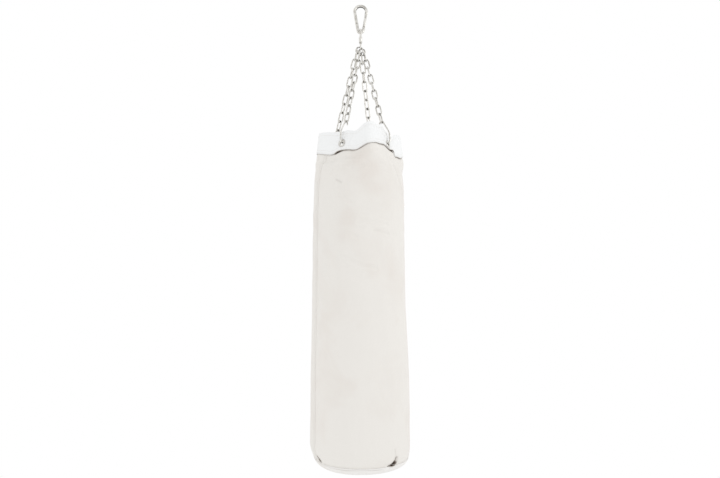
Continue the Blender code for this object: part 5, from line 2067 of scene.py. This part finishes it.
@dataclass
class Collar:
    """The doubled canvas band that the hooks hold, with its hem, puckers and grommets."""

    plan: Plan
    finishes: Finishes
    sewing: Sewing
    columns: int = 300
    rows: int = 26
    uv_radius: float = 0.125
    hem: float = 0.0130
    hem_step: float = 0.00022
    hem_stitch_up: float = 0.0025
    seam_stitches_up: tuple = (0.0045, 0.0110)
    edge_height: float = 0.0014
    skin: float = 0.0002
    pucker: float = 0.0011
    pucker_start: float = 0.0130
    pucker_reach: float = 0.0160
    slack_reach: float = 0.0200
    edge_angles: tuple = (35, 70, 110, 145)
    stitch_shift: float = 0.37
    stitch_clear: float = 0.0015
    grommet_hole: float = 0.0062
    grommet_neck: float = 0.0076
    grommet_flange: float = 0.0115
    grommet_plate: float = 0.0012

    def build(self) -> None:
        """Make the band, the grommets and the stitches."""
        azimuths = columns_round(self.columns)
        rings = np.array([self.face(a) for a in azimuths]).transpose(1, 0, 2)
        down = np.arange(len(rings)) * (self.plan.height / (self.rows - 1))
        mesh = loft("collar_cloth", rings, unrolled(azimuths, self.uv_radius), down,
                    close_rows=True)
        self.add_shade_and_grime(mesh)
        collar = link_object("collar_cloth", mesh, self.finishes.collar)
        work_on(collar, *[
            (Operation.CUT, pin("punch_" + place.name, self.grommet_neck + GAP, THROUGH, 40,
                                self.square_to(place))) for place in ATTACHMENTS])
        collar.data.shade_smooth()
        dress(collar, self.finishes.collar)
        attach(collar, Body.BAG, Slot.COLLAR, "collar_band")
        for place in ATTACHMENTS:
            self.build_grommet(place)
        self.stitch(Surface(collar))

    def dent(self, azimuth: float, level: float) -> float:
        """How far the cloth stands out from its plan: puckers round the grommets, and slack.

        Args:
            azimuth: where round the bag.
            level: the height.

        Returns:
            The distance, outwards.
        """
        free, height = 1.0, 0.0
        for place in ATTACHMENTS:
            side, rise = self.plan.from_hole(azimuth, level, place)
            far = hypot(side, rise)
            past = max(0.0, far - self.pucker_start)
            free = min(free, past / self.slack_reach)
            height += (self.pucker * cos(6 * atan2(side, rise) + 1.3 * place.azimuth)
                       * exp(-past / self.pucker_reach) * clamp((far - 0.0125) / 0.006))
        x, y = sin(azimuth), cos(azimuth)
        soft = noise.noise((3.0 * x, 3.0 * y, 14.0 * level))
        fine = noise.noise((9.0 * x + 4.0, 9.0 * y, 22.0 * level))
        return height + free * (0.0011 * soft + 0.0004 * fine)

    def face(self, azimuth: float) -> list[tuple]:
        """The band's cross section: down the outside, round the lower edge and up the inside.

        Args:
            azimuth: where round the bag.

        Returns:
            The points of the closed section.
        """
        plan = self.plan
        rim, seam = plan.rim(azimuth), plan.seam(azimuth)
        levels = [rim - 0.0008 + (seam - rim + 0.0012) * share
                  for share in turns(self.rows - 1, 1.0, True)]

        def spot(level: float, inset: float, rise: float = 0.0) -> tuple:
            """A point this far in from the outer face, and above the level of its dent."""
            inset -= self.dent(azimuth, level)
            return tuple(plan.offset(azimuth, level + rise, plan.corner, inset))

        edge = [(self.edge_height * sin(a), plan.thick / 2 * (1 - cos(a)))
                for a in map(radians, self.edge_angles)]
        outside = [spot(level, self.skin - self.hem_step
                        * (1 - clamp((rim - level - self.hem) / 0.0012))) for level in levels]
        bottom = [spot(levels[-1], inset, -0.7 * rise) for rise, inset in edge]
        inside = [spot(level, plan.thick - self.skin) for level in reversed(levels)]
        top = [spot(levels[0], inset, rise) for rise, inset in reversed(edge)]
        return outside + bottom + inside + top

    def add_shade_and_grime(self, mesh: Mesh) -> None:
        """Painted shade along the lower edge, and darker canvas round the grommets.

        Args:
            mesh: the band's mesh.
        """
        points = read_points(mesh)
        azimuths, level = np.arctan2(points[:, 0], -points[:, 1]), points[:, 2]
        seams = np.array([self.plan.seam(a) for a in azimuths])
        shade_and_grime = 0.6 * self.plan.touch(azimuths, 2) * bell(level - seams, 0.0008)
        for place in ATTACHMENTS:
            far = np.hypot(*self.plan.from_hole(azimuths, level, place))
            shade_and_grime = np.maximum(shade_and_grime, 0.35 * bell(far - self.grommet_flange, 0.0022))
        store(mesh, "shade_and_grime", np.clip(shade_and_grime, 0.0, 1.0))

    def square_to(self, place: Attachment) -> Matrix:
        """Puts a grommet square to the leaning flat of the collar.

        Args:
            place: where it sits.

        Returns:
            The matrix from a part that stands along Z.
        """
        lean = atan(self.plan.lean)
        axis = outward(place.azimuth) * cos(lean) + up(sin(lean))
        side = sideways(place.azimuth)
        return set_up(side, axis.cross(side), axis, middle_of("grommet_" + place.name))

    def build_grommet(self, place: Attachment) -> None:
        """A rolled eyelet with a flange on each face of the band.

        Args:
            place: where it sits.
        """
        wall = self.plan.thick / 2 + GAP
        hole, flange = self.grommet_hole, self.grommet_flange
        middle, half = (hole + flange) / 2, (flange - hole) / 2
        roll = [(middle - half * cos(a), wall + self.grommet_plate * sin(a))
                for a in turns(10, pi, True)]
        profile = mirrored([(hole, wall * 0.5), *roll, (self.grommet_neck, wall)])
        name = "eyelet_" + place.name
        mesh = lathe(name, profile, 48, self.square_to(place), closed=True)
        attach(link_object(name, mesh, self.finishes.plated), Body.BAG, Slot.PLATED,
               "grommet_" + place.name)

    def stitch(self, surface: Surface) -> None:
        """Sew the hem and the two rows along the lower edge, broken at the grommets.

        Args:
            surface: the finished band.
        """
        rows = [(self.plan.rim, self.hem_stitch_up - self.hem)]
        rows += [(self.plan.seam, above) for above in self.seam_stitches_up]
        lines = []
        for edge, above in rows:
            lines.append([])
            for i in range(self.columns + 1):
                azimuth = 2 * pi * (i + self.stitch_shift) / self.columns
                level = edge(azimuth) + above
                if any(hypot(*self.plan.from_hole(azimuth, level, place))
                       < self.grommet_flange + self.stitch_clear for place in ATTACHMENTS):
                    lines.append([])
                else:
                    lines[-1].append(surface.at(azimuth, level))
        self.sewing.sew("collar_stitches", [line for line in lines if len(line) > 2])


@dataclass
class Trim:
    """The base panel, the side seam, the cover and the stitches on them.

    The painted shade line on the base is a list of rows of azimuth in degrees, how far below the
    seam and strength.
    """

    plan: Plan
    finishes: Finishes
    sewing: Sewing
    columns: int = 144
    seam_width: float = 0.0140
    seam_thick: float = 0.0009
    seam_rows: int = 150
    seam_rise: float = 0.0120
    seam_wander: float = 0.0016
    seam_darkening: float = 0.04
    stitch_side: float = 0.72
    stitch_lift: float = 0.98
    base_shade_line: tuple = (
        (-60.0, 0.0010, 0.0), (-42.0, 0.0020, 0.22), (-19.0, 0.0040, 0.26), (2.0, 0.0020, 0.24),
        (14.0, 0.0030, 0.26), (23.0, 0.0042, 0.22), (29.0, 0.0045, 0.0), (34.5, -0.0008, 0.0),
        (37.0, -0.0008, 1.0), (39.5, -0.0008, 1.0), (42.0, -0.0008, 0.0),
    )
    base_steps: int = 14
    base_rough: float = 0.0006
    base_sag: float = 0.0012
    base_shade_fade: float = 0.0014
    base_shares: tuple = (0.93, 0.85, 0.75, 0.64, 0.52, 0.4, 0.28, 0.17, 0.08)
    base_stitches: int = 320
    base_stitch_up: float = 0.0050
    cover_columns: int = 96
    cover_down: float = 0.0060
    cover_thick: float = 0.0030
    cover_clear: float = 0.0014
    cover_crown: float = 0.0040
    cover_folds: float = 0.0016
    cover_gather: float = 0.0005
    cover_shares: tuple = (0.04, 0.12, 0.22, 0.33, 0.45, 0.57, 0.68, 0.78, 0.86, 0.93, 0.98, 1.0)

    def build_base(self) -> None:
        """The round base panel: a rolled edge under the seam and a sagging middle."""
        plan = self.plan
        thick, foot, radius = plan.base_thick, plan.foot_down, plan.foot_radius
        outer = plan.base_profile(self.base_steps)
        outer += [(plan.base_flat * share, plan.base_down) for share in self.base_shares]
        inner = [(max(0.004, r - 0.9 * thick), d - thick) for r, d in reversed(outer)
                 if d > foot + thick]
        outer = [(radius + 0.0007, foot - 0.0016), (radius + 0.0009, foot + 0.0002)] + outer
        lip = [(radius - thick, foot + plan.base_gap), (radius + 0.0001, foot + 0.0010),
               (radius + 0.0002, foot - 0.0014)]
        azimuths = columns_round(self.columns, plan.side_seam)
        rings = np.array([[self.base_point(a, r, d, index if index < len(outer) else -1)
                           for a in azimuths]
                          for index, (r, d) in enumerate(outer + inner + lip)])
        mesh = loft("base_cloth", rings, unrolled(azimuths, plan.mean_radius),
                    np.arange(len(rings)) * 0.004, close_rows=True)
        lay_flat(mesh)
        # painted shade: a faint wavy line along the base seam, darkest in the tuck at the right
        points = read_points(mesh)
        turned = np.degrees(np.arctan2(points[:, 0] - plan.foot_shift, -points[:, 1]))
        places, depths, strengths = np.array(self.base_shade_line).T
        deep = -points[:, 2] - foot - np.interp(turned, places, depths)
        store(mesh, "shade_and_grime", np.interp(turned, places, strengths)
              * np.exp(-(deep / self.base_shade_fade) ** 2))
        base = link_object("base_cloth", mesh, self.finishes.base)
        attach(base, Body.BAG, Slot.CANVAS, "base_panel")

    def base_point(self, azimuth: float, radius: float, down: float, row: int) -> tuple:
        """A point of the base panel, with the unevenness of its outer face.

        Args:
            azimuth: where round the bag.
            radius: the distance from its middle.
            down: the height below the origin.
            row: the row on the outer face, or -1 inside.

        Returns:
            The point.
        """
        plan = self.plan
        near = radius - plan.taper(azimuth, down) * min(1.0, radius / plan.base_flat)
        x, y = sin(azimuth) * near, -cos(azimuth) * near
        level = -down
        if row > 1 and down < plan.base_down - 0.0004:
            level += self.base_rough * noise.noise((30 * sin(azimuth), 30 * cos(azimuth), 4.0))
        if row >= 0 and radius <= plan.base_flat:
            sag = self.base_sag * (1 - (radius / plan.base_flat) ** 2)
            level += max(0.0, sag * (0.5 + noise.noise((18 * x, 18 * y, 2.0))))
        return x + plan.foot_shift, y, level

    def build_side_seam(self, surface: Surface) -> None:
        """A felled seam up the left side, sewn down with two rows.

        Args:
            surface: the body that it lies on.
        """
        plan = self.plan
        top = -plan.seam(plan.side_seam) + 0.0012
        downs = np.linspace(top, plan.foot_down - 0.001, self.seam_rows)
        half = self.seam_width / 2 / plan.mean_radius
        right = [(0.35, 0.9), (0.8, 1.0), (0.96, 0.75), (1.0, 0.0)]
        section = [(-side, rise) for side, rise in reversed(right)]
        section += [(0.0, 0.82), *right, (0.5, -0.3), (-0.5, -0.3)]
        rings = []
        for down in downs:
            thick = self.seam_thick * min(1.0, 0.15 + (down - top) / self.seam_rise)
            ring = []
            for side, rise in section:
                wander = self.seam_wander * noise.noise((0.0, side, 14.0 * down))
                place, normal = self.on_body(surface, plan.side_seam + side * half, down + wander)
                ring.append(tuple(place + normal * thick * rise))
            rings.append(ring)
        widths = np.linspace(0.0, 2 * self.seam_width, len(section) + 1)
        mesh = loft("side_seam_cloth", np.array(rings), widths, downs, close_ends=True)
        face_outwards(mesh)
        store(mesh, "shade_and_grime", np.full(len(mesh.vertices), self.seam_darkening))
        attach(link_object("side_seam_cloth", mesh, self.finishes.body), Body.BAG, Slot.CANVAS,
               "side_seam")
        lift = self.seam_thick * self.stitch_lift
        lines = [[self.on_body(surface, plan.side_seam + side * half, down, lift)
                  for down in downs[1:-1]] for side in (-self.stitch_side, self.stitch_side)]
        self.sewing.sew("side_seam_stitches", lines)

    def on_body(self, surface: Surface, azimuth: float, down: float,
                lift: float = 0.0) -> tuple[Vector, Vector]:
        """A point that stands this far off the body, and the normal there."""
        place, normal = surface.at(azimuth, -down, self.plan.shift(down))
        return place + normal * lift, normal

    def build_cover(self) -> None:
        """The cloth cover in the mouth of the bag, slightly crowned by the filling."""
        plan = self.plan
        azimuths = columns_round(self.cover_columns)
        level = -(plan.seam_down + self.cover_down)
        inset = plan.thick + plan.lap_gap + plan.canvas + self.cover_clear
        edge = np.array([tuple(plan.offset(a, level, plan.corner, inset)) for a in azimuths])
        above, below = [], []
        for share in self.cover_shares:
            ring = edge * share
            crown = self.cover_crown * (1 - share ** 2)
            folds = np.array([noise.noise((16 * x, 16 * y, 1.0)) for x, y, _ in ring])
            gather = self.cover_gather * np.cos(26 * azimuths) * share ** 6 * (1 - share)
            ring[:, 2] = level + crown + self.cover_folds * folds * (1 - share ** 4) + gather
            above.append(ring)
            below.append(ring.copy())
            below[-1][:, 2] = level - self.cover_thick * 0.9
        rings = np.array(above + below[::-1])
        mesh = loft("cover_cloth", rings, unrolled(azimuths, 0.12), np.arange(len(rings)) * 0.01,
                    close_ends=True)
        face_outwards(mesh)
        lay_flat(mesh)
        store(mesh, "shade_and_grime", np.zeros(len(mesh.vertices)))
        cover = link_object("cover_cloth", mesh, self.finishes.collar)
        attach(cover, Body.BAG, Slot.COLLAR, "top_cover")

    def stitch_base(self, surface: Surface) -> None:
        """The row of stitches above the base seam.

        Args:
            surface: the body that it lies on.
        """
        down = self.plan.foot_down - self.base_stitch_up
        line = [self.on_body(surface, azimuth, down) for azimuth in turns(self.base_stitches)]
        self.sewing.sew("base_stitches", [line], closed=True)


# Studio


@dataclass
class Studio:
    """The camera, the lamps, the white surroundings, the pale floor and the dark cards.

    Lamps are rows of name, place, size and watts, and cards rows of place and size.
    """

    camera_place: tuple = (-0.0019, -1.727, -1.0033)
    camera_pitch: float = 7.3
    lens: float = 27.45
    sensor: float = 36.0
    ambient: float = 0.94
    lamp_aim: tuple = (0.0, 0.0, -0.85)
    lamps: tuple = (("key_light", (2.5, -0.9, -0.2), 1.6, 9.0),
                    ("low_fill", (-1.6, -1.5, -1.6), 1.8, 9.0 * 0.35))
    floor_level: float = -2.25
    floor_side: float = 30.0
    floor_fade: tuple = (0.9, 2.2)
    floor_tones: tuple = ((0.90, 0.90, 0.90, 1.0), (0.92, 0.92, 0.92, 1.0))
    card_aim: tuple = (0.0, 0.0, -0.15)
    card_thick: float = 0.002
    card_tone: tuple = (0.015, 0.015, 0.015, 1.0)
    cards: tuple = (((-0.55, -1.20, 0.10), (0.26, 1.00)), ((0.95, -0.80, -0.55), (0.34, 0.50)),
                    ((0.15, -0.90, 0.75), (0.70, 0.22)))

    def build(self) -> None:
        """Make everything that isn't part of the object."""
        self.build_camera()
        self.build_world()
        self.build_lamps()
        self.build_floor()
        self.build_cards()
        bpy.context.scene.view_settings.view_transform = "Standard"

    def build_camera(self) -> None:
        """A camera where the photograph was taken from."""
        data = bpy.data.cameras.new("photo_camera")
        data.lens, data.sensor_width = self.lens, self.sensor
        camera = bpy.data.objects.new("photo_camera", data)
        camera.location = self.camera_place
        camera.rotation_euler = (radians(90.0 + self.camera_pitch), 0.0, 0.0)
        bpy.context.scene.collection.objects.link(camera)
        bpy.context.scene.camera = camera

    @staticmethod
    def seen_by(graph: Graph, *kinds: str) -> Node:
        """Tell rays of some kinds from the others.

        Args:
            graph: the graph to add the nodes to.
            kinds: the kinds, such as Camera.

        Returns:
            The node that gives 1 for a ray of these kinds and 0 for any other.
        """
        path = graph.node("ShaderNodeLightPath").outputs
        seen = path[f"Is {kinds[0]} Ray"]
        for kind in kinds[1:]:
            seen = graph.math("MAXIMUM", seen, path[f"Is {kind} Ray"])
        return seen

    def build_world(self) -> None:
        """White behind the object and in its reflections, softer as light on it."""
        world = bpy.data.worlds.new("studio")
        world.use_nodes = True
        bpy.context.scene.world = world
        graph = Graph(world.node_tree)
        seen = self.seen_by(graph, "Camera", "Glossy", "Transmission")
        graph.feed(world.node_tree.nodes["Background"],
                   {"Color": WHITE, "Strength": graph.ramp(seen, 0.0, 1.0, self.ambient, 1.0)})

    @staticmethod
    def turned(place: tuple, aim: tuple) -> Quaternion:
        """How something at a place turns its -Z towards a point."""
        return (Vector(aim) - Vector(place)).to_track_quat("-Z", "Y")

    def build_lamps(self) -> None:
        """A large soft key from the right in front and a low fill from the left."""
        for name, place, size, watts in self.lamps:
            data = bpy.data.lights.new(name, "AREA")
            data.shape = "DISK"
            data.size, data.energy = size, watts
            lamp = bpy.data.objects.new(name, data)
            lamp.location = place
            lamp.rotation_euler = self.turned(place, self.lamp_aim).to_euler()
            bpy.context.scene.collection.objects.link(lamp)

    def build_floor(self) -> None:
        """A pale floor that fades into the white surroundings away from the object."""
        mesh = bpy.data.meshes.new("floor")
        mesh.from_pydata([(x * self.floor_side, y * self.floor_side, self.floor_level)
                          for x, y in ((-1, -1), (1, -1), (1, 1), (-1, 1))], [], [(0, 1, 2, 3)])
        material, graph, shader = new_material("floor_pale")
        place = graph.node("ShaderNodeTexCoord").outputs["Object"]
        level = graph.node("ShaderNodeVectorMath", {0: place, 1: (1.0, 1.0, 0.0)},
                           operation="MULTIPLY")
        cloud = graph.cloud(place, 3.0, detail=2.0)
        graph.feed(shader, {"Base Color": graph.mix(cloud, *self.floor_tones), "Roughness": 0.9})
        glow = graph.node("ShaderNodeEmission", {"Color": WHITE, "Strength": 1.0})
        share = graph.math("MULTIPLY", graph.ramp(graph.length(level), *self.floor_fade),
                           self.seen_by(graph, "Camera", "Glossy"))
        blend = graph.node("ShaderNodeMixShader", {0: share, 1: shader, 2: glow})
        graph.feed(material.node_tree.nodes["Material Output"], {"Surface": blend})
        floor = link_object("floor", mesh, material)

    def build_cards(self) -> None:
        """Dark cards that only the metal reflects."""
        material, graph, shader = new_material("dark_card")
        graph.feed(shader, {"Base Color": self.card_tone, "Roughness": 1.0})
        for number, (place, size) in enumerate(self.cards, start=1):
            name = f"dark_card_{number}"
            turn = self.turned(place, self.card_aim).to_matrix().to_4x4()
            card = link_object(name, block(name, (*size, self.card_thick), Vector(place), turn),
                               material)
            card.visible_camera = card.visible_diffuse = card.visible_shadow = False


def main() -> None:
    """Build the pieces in order."""
    logging.basicConfig(level=logging.INFO, format="%(name)s: %(message)s")
    Studio().build()
    trees = ShapeTrees()
    finishes = Finishes(Effects())
    bars = BarMaker(trees)
    for metal in (SnapHook, Swivel, Chains):
        metal(bars, finishes).build()
    plan = Plan()
    sewing = Sewing(trees, finishes)
    Collar(plan, finishes, sewing).build()
    surface = Surface(StuffedBody(plan, finishes).build())
    trim = Trim(plan, finishes, sewing)
    trim.build_base()
    trim.build_side_seam(surface)
    trim.build_cover()
    trim.stitch_base(surface)


if __name__ == "__main__":
    main()
